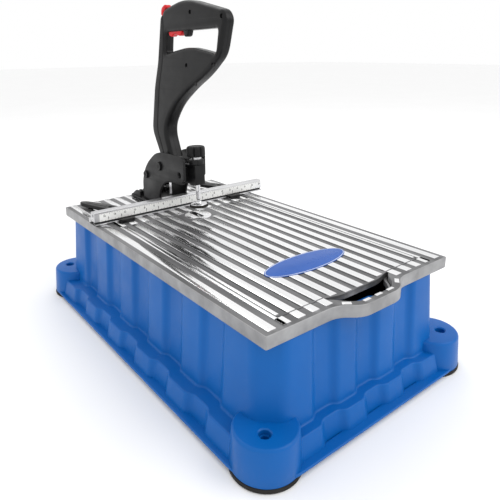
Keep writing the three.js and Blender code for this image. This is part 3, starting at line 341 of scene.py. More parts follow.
# A turned piece about a vertical axis at (x, y); the profile runs outside round from the axis to the axis.
def turned(profile, x=0, y=0, count=64, wave=None, lift=0.0):
    mesh = bpy.data.meshes.new("turned")
    verts, rings = [], []
    for radius, z in profile:
        if radius <= 1e-6:
            rings.append([len(verts)])
            verts.append((x * mm, y * mm, (z + lift) * mm))
            continue
        ring = []
        for k in range(count):
            angle = 2 * math.pi * k / count
            reach = radius if wave is None else wave(radius, z, angle)
            ring.append(len(verts))
            out, along = x + reach * math.cos(angle), y + reach * math.sin(angle)
            verts.append((out * mm, along * mm, (z + lift) * mm))
        rings.append(ring)
    faces = []
    for low, high in zip(rings, rings[1:]):
        for k in range(count):
            n = (k + 1) % count
            if len(low) == 1 and len(high) == 1:
                continue
            if len(low) == 1:
                faces.append((low[0], high[n], high[k]))
            elif len(high) == 1:
                faces.append((low[k], low[n], high[0]))
            else:
                faces.append((low[k], low[n], high[n], high[k]))
    mesh.from_pydata(verts, [], faces)
    mesh.update()
    fixNormals(mesh)
    return mesh


def fixNormals(mesh):
    tidy = bmesh.new()
    tidy.from_mesh(mesh)
    bmesh.ops.recalc_face_normals(tidy, faces=tidy.faces)
    tidy.to_mesh(mesh)
    tidy.free()


# A turned piece whose axis lies along X, Y or any other direction: drawn upright, then swung.
def turnedAlong(profile, axis, place, count=48, wave=None):
    mesh = turned(profile, 0, 0, count, wave)
    swing = Vector((0, 0, 1)).rotation_difference(Vector(axis)).to_matrix().to_4x4()
    mesh.transform(Matrix.Translation(Vector(place) * mm) @ swing)
    return mesh


# Rings with the same number of points, joined into one skin; open at both ends unless capped.
def loft(rings, capFirst=False, capLast=False):
    verts = [(x * mm, y * mm, z * mm) for ring in rings for x, y, z in ring]
    count = len(rings[0])
    faces = []
    for r in range(len(rings) - 1):
        for k in range(count):
            n = (k + 1) % count
            faces.append((r * count + k, r * count + n, (r + 1) * count + n, (r + 1) * count + k))
    if capFirst:
        faces.append(tuple(range(count))[::-1])
    if capLast:
        faces.append(tuple((len(rings) - 1) * count + k for k in range(count)))
    mesh = bpy.data.meshes.new("loft")
    mesh.from_pydata(verts, [], faces)
    mesh.update()
    return mesh


def joined(name, parts, smooth=35):
    # parts are (mesh, material name); the result is one object with those materials in its slots
    slots = []
    whole = bmesh.new()
    for mesh, material in parts:
        if material not in slots:
            slots.append(material)
        index = slots.index(material)
        for face in mesh.polygons:
            face.material_index = index
        whole.from_mesh(mesh)
    mesh = bpy.data.meshes.new(name)
    whole.to_mesh(mesh)
    whole.free()
    for material in slots:
        mesh.materials.append(mats[material])
    mesh.shade_smooth()
    mesh.set_sharp_from_angle(angle=math.radians(smooth))
    return link(name, mesh)


def carved(mesh, cutters):
    body = link("carveBody", mesh)
    for cutter in cutters:
        tool = link("carveTool", cutter)
        change = body.modifiers.new("carve", "BOOLEAN")
        change.operation = "DIFFERENCE"
        change.solver = "EXACT"
        change.object = tool
    bpy.context.view_layer.update()
    result = evaluated(body)
    for piece in [p for p in bpy.data.objects if p.name.startswith("carve")]:
        bpy.data.objects.remove(piece)
    return result


# A finished piece stands for its CAD nodes: it rides on their body and hides them.
def dress(piece, *nodes):
    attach(piece, bodyOfNode[nodes[0]])
    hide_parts(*nodes)
    return piece


# The blue base: ribbed wall and skirt lofted in one skin, corner bosses and a thin rim round the foot.
baseLook = {
    "foot": 6.3,
    "rim": 4,
    "ledge": 38,
    "ledgeWidth": 21.8,
    "draft": 7,
    "skirtDraft": 6,
    "wall": 4,
    "recess": 7,
    "flank": 9,
    "chamfer": 28,
    "overhang": 5.5,
    "longPitch": 97.6,
    "longFlat": 34.6,
    "shortPitch": 80.5,
    "shortFlat": 28.5,
    "rounding": 5,
    "bossRadius": 44,
    "bossTop": 41,
    "bossHeight": 55,
    "holeOut": 10,
    "ledgeRound": 2.4,
    "wallFillet": 3.2,
    "shoulder": (4, 4.6),
    "rimWide": 16,
}


def ribbedRing(halfX, halfY, z, inset=0.0, steps=4):
    look = baseLook

    def run(half, pitch, flat, repeats):
        corners = [(-half + look["chamfer"], 0, 9)]
        for k in range(-repeats, repeats + 1):
            mid = k * pitch
            for u, v in ((-flat / 2 - look["flank"], 0), (-flat / 2, look["recess"]),
                         (flat / 2, look["recess"]), (flat / 2 + look["flank"], 0)):
                corners.append((mid + u, v, look["rounding"]))
        corners.append((half - look["chamfer"], 0, 9))
        return corners
    front = run(halfX, look["shortPitch"], look["shortFlat"], 1)
    side = run(halfY, look["longPitch"], look["longFlat"], 2)
    corners = [(u, v - halfY, r) for u, v, r in front] + [(halfX - v, u, r) for u, v, r in side]
    corners += [(-u, halfY - v, r) for u, v, r in front] + [(v - halfX, -u, r) for u, v, r in side]
    return [(x, y, z) for x, y in rounded(corners, steps)]


def makeBase():
    look = baseLook
    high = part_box("base_shell")[1]
    wallTop = high[2] / mm
    topX, topY = tableHalf - look["overhang"], tableBack - 0.5 * look["overhang"]
    lowX, lowY = topX + look["draft"], topY + look["draft"]
    skirtX, skirtY = lowX + look["ledgeWidth"], lowY + look["ledgeWidth"] - 6.5
    footZ, ledge = look["foot"], look["ledge"]
    rings = [ribbedRing(skirtX + look["skirtDraft"], skirtY + look["skirtDraft"], footZ + 1)]
    for rise in (0.3, 0.6, 0.9):
        out = look["skirtDraft"] * (1 - rise)
        rings.append(ribbedRing(skirtX + out, skirtY + out, footZ + 1 + (ledge - footZ - 3) * rise))
    for angle in (0, 30, 60, 90):    # rounded outer edge of the ledge
        back = look["ledgeRound"] * (1 - math.cos(math.radians(angle)))
        up = look["ledgeRound"] * math.sin(math.radians(angle))
        rings.append(ribbedRing(skirtX - back, skirtY - back, ledge - look["ledgeRound"] + up))
    for angle in (0, 30, 60, 90):    # fillet at the wall's foot
        out = look["wallFillet"] * (1 - math.sin(math.radians(angle)))
        up = look["wallFillet"] * (1 - math.cos(math.radians(angle)))
        rings.append(ribbedRing(lowX + out, lowY + out, ledge + up))
    for share in (0.33, 0.66, 1.0):
        wide = lowX + (topX - lowX) * share
        deep = lowY + (topY - lowY) * share
        rings.append(ribbedRing(wide, deep, ledge + (wallTop - ledge) * share))
    inside = look["wall"]
    rings.append(ribbedRing(topX - inside, topY - inside, wallTop))
    rings.append(ribbedRing(lowX - inside, lowY - inside, ledge - inside))
    rings.append(ribbedRing(skirtX - inside, skirtY - inside, ledge - inside))
    inset = inside - look["skirtDraft"]
    rings.append(ribbedRing(skirtX - inset, skirtY - inset, footZ + 1))
    rings.append(rings[0])
    skin = loft(rings)
    fixNormals(skin)
    halfX, halfY = high[0] / mm, high[1] / mm
    corner = 1.45 * look["bossRadius"]

    def rimLoop(x, y):
        return rounded([(-x, -y, corner), (x, -y, corner), (x, y, corner), (-x, y, corner)], 20)
    wide = look["rimWide"]
    rim = plate([rimLoop(halfX, halfY), rimLoop(halfX - wide, halfY - wide)],
                (footZ, footZ + look["rim"]), 1.4, 3)
    parts = [(skin, "mouldedBlue"), (rim, "mouldedBlue")]
    bossX, bossY = halfX - look["bossRadius"], halfY - look["bossRadius"]
    crown = look["bossHeight"]
    shoulderIn, shoulderDown = look["shoulder"]
    for sx in (-1, 1):
        for sy in (-1, 1):
            profile = [(0, footZ), (look["bossRadius"] - 0.4, footZ), (look["bossRadius"], footZ + 1),
                       (look["bossTop"], crown - shoulderDown)]
            for angle in (15, 30, 45, 60, 75, 90):    # the boss's rounded shoulder
                turn = math.radians(angle)
                profile.append((look["bossTop"] - shoulderIn * (1 - math.cos(turn)),
                                crown - shoulderDown * (1 - math.sin(turn))))
            profile.append((0, crown))
            holeX, holeY = sx * (bossX + look["holeOut"]), sy * (bossY + look["holeOut"])
            sink = turned([(0, 20), (5.5, 20), (5.5, crown - 8), (7.6, crown - 7.9), (7.6, crown - 1.6),
                           (9.4, crown + 0.2), (9.4, crown + 2), (0, crown + 2)], holeX, holeY, 40)
            parts.append((carved(turned(profile, sx * bossX, sy * bossY, 96), [sink]), "mouldedBlue"))
            # painted shade: a near-black disc on the floor of each screw hole stands for the shade down in it
            parts.append((turned([(0, 20.2), (5.4, 20.2), (5.4, 21), (0, 21)], holeX, holeY, 24), "paintedRecessShade"))
    return dress(joined("baseShell", parts, 40), "base_shell")


footLook = {"radius": 45, "height": 6}


def makeFeet():
    for name in ("front_left", "front_right", "rear_right", "rear_left"):
        low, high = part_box("foot_" + name)
        x, y = (low[0] + high[0]) / 2 / mm, (low[1] + high[1]) / 2 / mm
        r, h = footLook["radius"], footLook["height"]
        ring = turned([(9, 2.2), (9, 0.5), (10, 0), (r - 2.2, 0), (r - 0.7, 0.5), (r, 1.8), (r - 0.3, 2.9),
                       (r - 0.3, 3.5), (r, 4.2), (r - 0.5, 5.4), (r - 1.6, h), (9, h), (9, 2.2)], x, y, 96)
        dress(joined("foot_" + name + "_rubber", [(ring, "footRubber")]), "foot_" + name)


makeBase()
makeFeet()
print("base and feet made")

# The table: a cast frame and an access panel, both with bright ground lands standing over dull grooves.
tableLook = {
    "pitch": 23.3,
    "land": 12.5,
    "rise": 0.8,
    "thick": 17.5,
    "setback": 7,
    "panelHalf": 139.5,
    "panelFront": -281,
    "panelRear": 122,
    "panelThick": 8.4,
    "gap": 0.8,
    "seamWide": 0.5,
    "notch": 46,
    "fillet": 16,
    "bulge": 21,
    "tongue": 8,
    "notchDepth": 33,
    "landShadowWidth": 1.7,
    "insertY": 95,
    "insertRadius": 25,
    "slotWidth": 12,
    "slot": (81.5, 119.5),
    "badge": (156, 53, -189),
}


def notched(halfX, front, rear, bulge, corner):
    look = tableLook
    n, f = look["notch"], look["fillet"]
    return rounded([(-halfX, front, corner), (-n - f, front, f), (-n + 8, front - bulge, 1.8 * f),
                    (n - 8, front - bulge, 1.8 * f), (n + f, front, f), (halfX, front, corner),
                    (halfX, rear, corner), (-halfX, rear, corner)], 12)


def slotLoop(width, y):
    r = width / 2
    return rounded([(-r, y[0], r), (r, y[0], r), (r, y[1], r), (-r, y[1], r)], 8)


def slotLoopAt(x, width, y):
    return [(x + u, v) for u, v in slotLoop(width, y)]


# The slot that the pull rod passes through, in the table and in the housing's foot.
def rodSlotLoop():
    return rounded([(3, 200.5), (12, 200.5), (12, 224.5), (3, 224.5)])


def landBar(x, y):
    return brick(x, y, (-tableLook["rise"] - 0.3, 0), 0.25)


def frameLands():
    look = tableLook
    edge = look["panelHalf"] + look["gap"]
    front = (-tableBack + look["setback"], look["panelFront"] - look["gap"] - 0.4)
    rear = (look["panelRear"] + look["gap"] + 0.4, tableBack)
    bars = []
    for k in range(-7, 8):
        x = (k * look["pitch"] - look["land"] / 2, k * look["pitch"] + look["land"] / 2)
        if abs(k) == 7:
            bars.append(landBar(x, (front[0], rear[1])))
            continue
        bars.append(landBar(x, rear))
        if abs(k) <= 1:
            bars.append(landBar(x, (-tableBack - 14.5, -tableBack - 10.2)))
        elif abs(k) > 2:
            bars.append(landBar(x, front))
        if abs(k) == 6:
            strip = (edge + 0.4, x[1]) if k > 0 else (x[0], -edge - 0.4)
            bars.append(landBar(strip, (front[0], rear[1])))
    for side in (-1, 1):    # the lands that follow the finger notch round
        tilt = Matrix.Rotation(math.radians(38 * side), 4, "Z")
        mesh = brick((-6, 6), (-3, 3), (-look["rise"] - 0.3, 0), 0.25)
        mesh.transform(Matrix.Translation((side * 50.5 * mm, -308.3 * mm, 0)) @ tilt)
        bars.append(mesh)
    return bars


def panelLands():
    look = tableLook
    y = (look["panelFront"] + 0.8, look["panelRear"] - 0.6)
    seat = look["insertRadius"] + 3
    bars = []
    for k in range(-6, 7):
        x = [k * look["pitch"] - look["land"] / 2, k * look["pitch"] + look["land"] / 2]
        ends = list(y)
        if abs(k) == 6:
            inner = look["panelHalf"] - 0.8
            x = [x[0], inner] if k > 0 else [-inner, x[1]]
            ends = [y[0] + 4, y[1] - 4]
        if abs(k) <= 1:
            ends[0] = look["panelFront"] - look["tongue"] + 0.8
            near = 0 if k == 0 else abs(k) * look["pitch"] - look["land"] / 2
            reach = math.sqrt(seat ** 2 - near ** 2)
            bars.append(landBar(x, (ends[0], look["insertY"] - reach)))
            if look["insertY"] + reach < ends[1] - 2:
                bars.append(landBar(x, (look["insertY"] + reach, ends[1])))
            continue
        if abs(k) == 2:
            ends[0] -= 3.2
        bars.append(landBar(x, ends))
    return bars


def makeTable():
    look = tableLook
    slabTop, slabLow = -look["rise"], -look["thick"]
    gap = look["gap"] + look["seamWide"]

    def outerAt(inset, corner=2.5):
        return notched(tableHalf - inset, -tableBack + inset, tableBack - inset, look["bulge"], corner)

    def openingAt(out):
        return notched(look["panelHalf"] + out, look["panelFront"] - out, look["panelRear"] + out,
                       look["notchDepth"], 8)
    ledge = notched(look["panelHalf"] - 7, look["panelFront"] + 6, look["panelRear"] - 12,
                    look["notchDepth"] + 2, 4)
    ledgeTop = slabTop - look["panelThick"] - 0.3
    rodSlot = rodSlotLoop()
    band = topPlate([outerAt(0), outerAt(3)], (slabLow, slabTop), 0.8, 3)
    upper = topPlate([outerAt(1), openingAt(gap), rodSlot], (ledgeTop, slabTop - 0.05), 0.4, 2)
    lower = topPlate([outerAt(1), ledge, rodSlot], (slabLow + 0.05, ledgeTop), 0.4, 2)
    parts = [(band, "castEdge"), (upper, "castEdge"), (lower, "castEdge")]
    # painted shadow: a near-black ring down in the gap between panel and frame, where the shade between them
    # falls
    seam = topPlate([openingAt(gap + 0.4), openingAt(-0.8)], (ledgeTop + 0.3, ledgeTop + 1.2), 0.1, 0)
    parts.append((seam, "grooveShadow"))
    face = topPlate([outerAt(1.6, 2), openingAt(gap + 0.5), rodSlot],
                    (slabTop - 0.1, slabTop + 0.06), 0.02, 0)
    parts.append((face, "sawnGroove"))
    parts += [(bar, "groundLand") for bar in frameLands()]
    dress(joined("tableFrame", parts), "table_frame")


def makePanel():
    look = tableLook
    slabTop = -look["rise"]
    outer = notched(look["panelHalf"], look["panelFront"], look["panelRear"], look["tongue"], 8)
    slot = slotLoop(look["slotWidth"], look["slot"])
    leaf = topPlate([outer, slot], (slabTop - look["panelThick"], slabTop), 0.5, 3)
    insert = topPlate([circle(0, look["insertY"], look["insertRadius"], 72), slot],
                      (slabTop - 0.3, -0.02), 0.3, 2)
    parts = [(leaf, "sawnGroove"), (insert, "groundLand")]
    parts += [(bar, "groundLand") for bar in panelLands()]
    half = look["land"] / 2
    for k in range(-5, 7):    # painted shadow: a near-black strip along one side of each land
        x = k * look["pitch"] - half
        start = look["panelFront"] + (3 if abs(k - 0.5) > 2 else -3)
        stop = look["panelRear"] - 3 if k not in (-1, 0, 1, 2) else look["insertY"] - 27
        parts.append((topPlate([slotLoopAt(x - 0.9, look["landShadowWidth"], (start, stop))],
                               (slabTop - 0.2, slabTop + 0.1), 0.03, 0), "grooveShadow"))
    piece = dress(joined("accessPanel", parts), "access_panel")
    long, wide, y = look["badge"]
    low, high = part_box("panel_badge")
    base, crown = low[2] / mm - tableTop, high[2] / mm - tableTop

    def oval(u, v):
        return [(u * math.cos(a), y + v * math.sin(a)) for a in (2 * math.pi * k / 96 for k in range(96))]
    disc = topPlate([oval(long / 2, wide / 2)], (base, crown - 0.12), 0.4, 3)
    rim = topPlate([oval(long / 2 - 1.2, wide / 2 - 1.2), oval(long / 2 - 2.4, wide / 2 - 2.4)],
                   (crown - 0.3, crown), 0.1, 1)
    dress(joined("panelBadge", [(disc, "badgeBlue"), (rim, "badgeRim")]), "panel_badge")
    return piece


makeTable()
makePanel()
print("table and panel made")

# The fence: an extrusion with a numbered rule on its face, two stops and two cam levers.
fenceLook = {
    "front": 153,
    "depth": 30,
    "height": 23,
    "ruleLow": 6,
    "ruleHigh": 20,
    "digit": 4.6,
    "leverLength": 100,
    "leverTurn": 23,
    "pinHeight": 9,
}


def turnAbout(mesh, x, y):
    middle = Matrix.Translation(Vector((x, y, 0)) * mm)
    mesh.transform(middle @ Matrix.Rotation(math.radians(fenceLook["leverTurn"]), 4, "Z") @ middle.inverted())


def makeFence():
    look = fenceLook
    low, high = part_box("fence_bar")
    left, right = low[0] / mm, high[0] / mm
    f, b = look["front"], look["front"] + look["depth"]
    base, h = 0.3, look["height"] + 0.3
    section = rounded([(f, base, 0.4), (b, base, 0.4), (b, base + 9, 1.5), (b - 9, base + 10, 2),
                       (b - 12, h, 1.6), (f + 3, h, 1.2), (f + 3, base + 5.6, 0.3), (f + 8, base + 5.6, 0.3),
                       (f + 8, base + 2.4, 0.3), (f, base + 2.4, 0.6)], 4)
    bores = [circle(f + 10.5, base + 16.5, 2.6, 20), circle(f + 20, base + 5.2, 2.2, 20)]
    bar = sidePlate([section] + bores, (left, right), 0.35, 2)
    # painted shade: a near-black block set in the fence's front track, where the shade under its lip falls
    track = brick((left + 0.5, right - 0.5), (f + 4.5, f + 7.9), (base + 2.5, base + 5.5), 0.1)
    parts = [(bar, "anodisedAlloy"), (track, "paintedRecessShade")]
    for side in ("left", "right"):
        stud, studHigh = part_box("cam_stud_" + side)
        x, y = (stud[0] + studHigh[0]) / 2 / mm, (stud[1] + studHigh[1]) / 2 / mm
        foot = topPlate([panelLoop((x - 13, x + 13), (b - 4, y + 10), 1, 5), circle(x, y, 3.4, 24)],
                        (0.3, 2.8), 0.4, 2)
        parts.append((foot, "anodisedAlloy"))
        pin = (x, y, tableTop + look["pinHeight"])
        stud = [(turned([(0, 0.3), (3, 0.3), (3, 7), (0, 7)], x, y, 32, None, tableTop), "brightSteel"),
                (turnedAlong(barProfile(4.6, 2.6, 0.2), across, pin), "brightSteel"),
                (turnedAlong(barProfile(2.2, 8.4, 0.3, 0.3), across, pin), "brightSteel")]
        for mesh, _ in stud:
            turnAbout(mesh, x, y)
        dress(joined("camStud_" + side, stud), "cam_stud_" + side)
    dress(joined("fenceBar", parts), "fence_bar")
    makeRule()


def makeRule():
    look = fenceLook
    low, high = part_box("fence_scale")
    left, right = low[0] / mm, high[0] / mm
    face = low[1] / mm
    strip = brick((left, right), (face + 0.08, high[1] / mm), (look["ruleLow"], look["ruleHigh"]), 0.25)
    parts = [(strip, "ruleWhite")]

    def tick(x, z, wide):
        return (brick((x - wide / 2, x + wide / 2), (face + 0.02, face + 0.3), z, 0.02), "ruleInk")
    inch = 25.4
    for k in range(-27, 33):    # quarter inches along the lower edge
        x = k * inch / 4
        if left + 2 < x < right - 2:
            size = 3.6 if k % 4 == 0 else 2.6 if k % 2 == 0 else 1.7
            parts.append(tick(x, (look["ruleLow"] + 0.3, look["ruleLow"] + size), 0.55))
    for k in range(-33, 42):    # half centimetres along the upper edge
        x = k * 5
        if left + 2 < x < right - 2:
            size = 2.4 if k % 2 == 0 else 1.4
            parts.append(tick(x, (look["ruleHigh"] - size, look["ruleHigh"] - 0.3), 0.5))
    labels = [(k * inch, look["ruleLow"] + 4.0, abs(k)) for k in range(-6, 8)]
    labels += [(k * 20, look["ruleHigh"] - 6.0, abs(k * 2)) for k in range(-8, 11)]
    for x, z, number in labels:
        words = bpy.data.curves.new("digits", "FONT")
        words.body = str(number)
        words.size = look["digit"] * mm
        words.align_x = "CENTER"
        words.extrude = 0.05 * mm
        words.offset = 0.00014
        words.resolution_u = 2
        temp = link("digitsTemp", words)
        bpy.context.view_layer.update()
        mesh = evaluated(temp)
        bpy.data.objects.remove(temp)
        bpy.data.curves.remove(words)
        mesh.transform(frontPlane)
        shift = Vector((x, face + 0.08, tableTop + z - 0.2)) * mm
        mesh.transform(Matrix.Translation(shift))
        parts.append((mesh, "ruleInk"))
    dress(joined("fenceRule", parts), "fence_scale")


def makeStops():
    for side in ("left", "right"):
        low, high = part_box("fence_stop_" + side)
        x = (low[0] + high[0]) / 2 / mm
        y, yEnd = low[1] / mm, high[1] / mm
        nose = topPlate([panelLoop((x - 13, x + 13), (y, y + 8), 3, 1)], (0.3, 5.4), 0.7, 3)
        web = topPlate([panelLoop((x - 15, x + 15), (y + 5, yEnd), 1, 1)], (3.3, 5.1), 0.3, 2)
        grip = [(brick((x + u - 0.6, x + u + 0.6), (y + 1.2, y + 6.6), (5.1, 5.5), 0.15), "mouldedBlack")
                for u in (-8, -4, 0, 4, 8)]
        dress(joined("fenceStop_" + side, [(nose, "mouldedBlack"), (web, "mouldedBlack")] + grip),
              "fence_stop_" + side)


def makeCamLevers():
    for side in ("left", "right"):
        stud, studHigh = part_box("cam_stud_" + side)
        x, y = (stud[0] + studHigh[0]) / 2 / mm, (stud[1] + studHigh[1]) / 2 / mm
        length = fenceLook["leverLength"]
        blade = rounded([(-9, 1, 1), (-3.2, 1), (-3.2, 8.5, 1), (3.2, 8.5, 1), (3.2, 1), (9, 1, 1),
                         (12.5, 16, 8), (13, 40, 14), (9, length - 8, 16), (0, length + 2, 9),
                         (-9, length - 8, 16), (-13, 40, 14), (-12.5, 16, 8)], 10)
        window = panelLoop((-2.6, 2.6), (14, 25), 2.5, 2.5)
        body = topPlate([[(x + u, y + v) for u, v in loop] for loop in (blade, window)], (4, 11.5), 2.6, 5)
        parts = [(body, "mouldedBlack")]
        for u in (-8.6, 3.2):
            eye = [(0, 0), (5.4, 0), (5.8, 0.4), (5.8, 5.0), (5.4, 5.4), (0, 5.4)]
            place = (x + u, y, tableTop + fenceLook["pinHeight"])
            parts.append((turnedAlong(eye, across, place), "mouldedBlack"))
        spine = topPlate([[(x + u, y + v) for u, v in rounded([(-4, 32, 3), (4, 32, 3), (3, length - 16, 3),
                                                              (-3, length - 16, 3)])]], (10.8, 11.9), 0.5, 3)
        parts.append((spine, "mouldedBlack"))
        for mesh, _ in parts:
            turnAbout(mesh, x, y)
        dress(joined("camLever_" + side, parts), "cam_lever_" + side)


makeFence()
makeStops()
makeCamLevers()
print("fence, rule, stops and levers made")

# The clamp housing: two arched plates on a finned foot, held by two shafts and a spacer.
housingLook = {
    "out": 32,
    "thick": 4.5,
    "front": 89,
    "rear": 250,
    "noseCut": 24,
    "archFront": 104,
    "archRear": 186,
    "top": 113,
    "arch": 60,
    "fins": (-34, -25.5, -17, 17, 25.5, 34),
}


def centreOf(node):
    low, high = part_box(node)
    return [(a + b) / 2 / mm for a, b in zip(low, high)]


def housingOutline(side):
    look = housingLook
    top, arch, rear, front = look["top"], look["arch"], look["rear"], look["front"]
    if side > 0:
        front += look["noseCut"]
    return rounded([
        (rear, 5.3, 3), (rear, 48, 30), (rear - 19, 80, 30), (rear - 60, top - 3, 40), (rear - 100, top, 20),
        (front + 8, top + 2, 5), (front, top - 4, 6), (front, arch + 10, 6),
        (max(look["archFront"], front + 6), arch + 6, 6),
        (look["archFront"] + 55, arch - 3, 30), (look["archRear"] - 6, arch - 24, 22),
        (look["archRear"], 5.3)], 12)


def makeHousing():
    look = housingLook
    shaft = centreOf("handle_shaft")
    pivot = centreOf("arm_shaft")
    bores = [circle(shaft[1], shaft[2] - tableTop, 6.3), circle(pivot[1], pivot[2] - tableTop, 5.3)]
    peep = [circle(look["archFront"] + 1, 79, 5.5)]
    for side, hand in ((-1, "left"), (1, "right")):
        x = sorted((side * (look["out"] - look["thick"]), side * look["out"]))
        cheek = sidePlate([housingOutline(side)] + bores + (peep if side < 0 else []), x, 1.1, 4)
        dress(joined("housingPlate" + hand.capitalize(), [(cheek, "coatedBlack")]), "housing_plate_" + hand)
    foot = topPlate([panelLoop((-38, 38), (190, 298), 4, 6), rodSlotLoop()], (0.3, 5), 0.9, 3)
    parts = [(foot, "coatedBlack")]
    for x in look["fins"]:
        fin = sidePlate([rounded([(258, 4), (292, 4), (289, 9, 2), (276, 17, 3), (258, 17, 1)])],
                        (x - 1.6, x + 1.6), 0.7, 3)
        parts.append((fin, "coatedBlack"))
    for x in (-8.5, 8.5):    # bolts that hold the foot to the table
        parts += hexBolt((x, 284, tableTop + 5), (0, 0, 1), 5.2, 3.2, "brightSteel")
    dress(joined("housingFoot", parts), "housing_base")


def hexBolt(place, axis, radius, height, material):
    head = turnedAlong([(0, 0), (radius * 1.1, 0), (radius * 1.1, 0.5), (radius, 0.6), (radius, height - 0.6),
                        (radius - 0.6, height), (0, height)], axis, place, 48)
    # painted shade: a near-black hexagon on the head stands for the shade in the socket
    socket = turnedAlong([(0, 0.02), (radius * 0.5, 0.02), (radius * 0.5, 0.1), (0, 0.1)], axis,
                         Vector(place) + Vector(axis).normalized() * height, 6)
    return [(head, material), (socket, "paintedRecessShade")]


def makeShafts():
    for node, radius in (("handle_shaft", 6), ("arm_shaft", 5)):
        _, y, z = centreOf(node)
        edge = housingLook["out"]
        end = edge + 2
        rod = turnedAlong([(0, -end), (radius, -end), (radius, end), (0, end)], across, (0, y, z))
        parts = [(rod, "brightSteel")]
        for side in (-1, 1):
            parts += hexBolt((side * (edge + 0.3), y, z), (side, 0, 0), radius + 2.5, 3.1, "coatedBlack")
        dress(joined(node.replace("_s", "S"), parts), node)
    _, y, z = centreOf("housing_spacer")
    tube = turnedAlong(barProfile(5, 27.2), across, (0, y, z))
    dress(joined("housingSpacer", [(tube, "coatedBlack")]), "housing_spacer")


makeHousing()
makeShafts()
print("housing made")

# The clamp: arm, lock ring, knob, plunger and pad, drawn closed and then raised about the arm's pivot.
clampLook = {
    "rise": 3.25,
    "plungerY": 93.4,
    "block": 10.5,
    "blockLow": 52.4,
    "blockTop": 89.5,
    "rail": (18, 24),
    "rod": 4.3,
    "knob": 17,
    "knobHeight": 21.5,
    "flutes": 8,
    "pad": 17.5,
    "padLow": 9.5,
    "padThick": 4.5,
    "roller": (148, 63),
}


def raised(mesh):
    _, y, z = centreOf("arm_shaft")
    pivot = Matrix.Translation(Vector((0, y, z)) * mm)
    mesh.transform(pivot @ Matrix.Rotation(-math.radians(clampLook["rise"]), 4, "X") @ pivot.inverted())
    return mesh


def clampPiece(name, parts, *nodes, smooth=35):
    return dress(joined(name, [(raised(mesh), material) for mesh, material in parts], smooth), *nodes)


def makeClampArm():
    look = clampLook
    y, half = look["plungerY"], look["block"]
    low, top = look["blockLow"], look["blockTop"]
    pivot = centreOf("arm_shaft")
    bore = circle(0, y, look["rod"] + 0.3, 40)
    block = topPlate([panelLoop((-half, half), (y - half, y + 26), 2, 0), bore], (low, top), 1.2, 4)
    inner, outer = look["rail"]
    cross = topPlate([panelLoop((-outer, outer), (y + 14, y + 27), 2, 1)], (low + 3, top - 6), 1, 3)
    railLoop = rounded([(y + 14, 52, 3), (pivot[1] + 11, 47, 9), (pivot[1] + 11, 67, 9), (y + 60, 71, 3),
                        (y + 14, top - 8, 1)], 8)
    rollerY, rollerZ = look["roller"]
    holes = [circle(pivot[1], pivot[2] - tableTop, 5.3), circle(rollerY, rollerZ, 3.3, 24)]
    parts = [(block, "mouldedBlack"), (cross, "mouldedBlack")]
    for x in ((-outer, -inner), (inner, outer)):
        parts.append((sidePlate([railLoop] + holes, x, 0.8, 3), "mouldedBlack"))
    clampPiece("clampArm", parts, "clamp_arm")
    roller = turnedAlong([(0, -23.5), (2.7, -23.5), (3, -23.2), (3, -17.5), (6.5, -17.5), (7, -17), (7, 17),
                          (6.5, 17.5), (3, 17.5), (3, 23.2), (2.7, 23.5), (0, 23.5)], across,
                         (0, rollerY, tableTop + rollerZ))
    clampPiece("armRoller", [(roller, "brightSteel")], "arm_roller")


def makeKnob():
    look = clampLook
    y, base = look["plungerY"], tableTop + look["blockTop"]
    ringTop = base + 9.5
    low = ringTop + 3
    high = low + look["knobHeight"]
    r = look["knob"]

    def notchedRing(radius, z, angle):
        return radius - (1.3 * max(0, math.cos(6 * angle)) ** 4 if radius > 12 else 0)
    ring = turned([(6, base + 0.3), (13, base + 0.3), (13.8, base + 1.2), (13.8, ringTop - 1.2),
                   (13, ringTop), (6, ringTop), (6, base + 0.3)], 0, y, 144, notchedRing)
    clampPiece("lockRing", [(ring, "coatedBlack")], "lock_ring")

    def fluted(radius, z, angle):
        depth = 3.0 * max(0, (radius - 0.82 * r) / (0.18 * r))
        return radius - depth * max(0, math.cos(look["flutes"] * angle)) ** 3
    neck = turned([(0, ringTop + 0.3), (9.3, ringTop + 0.3), (9.3, low + 2.5), (0, low + 2.5)], 0, y, 64)
    profile = [(0, low + 2), (r - 3, low + 2), (r - 1.2, low + 2.5), (r - 0.3, low + 3.6), (r, low + 5.5),
               (r, high - 5), (r - 0.3, high - 3), (r - 1.3, high - 1.2), (r - 3, high - 0.3),
               (r - 4.2, high), (r - 5, high - 0.5), (0, high - 0.9)]
    knob = turned(profile, 0, y, 192, fluted)
    clampPiece("clampKnob", [(neck, "anodisedAlloy"), (knob, "softGrip")], "clamp_knob", smooth=50)


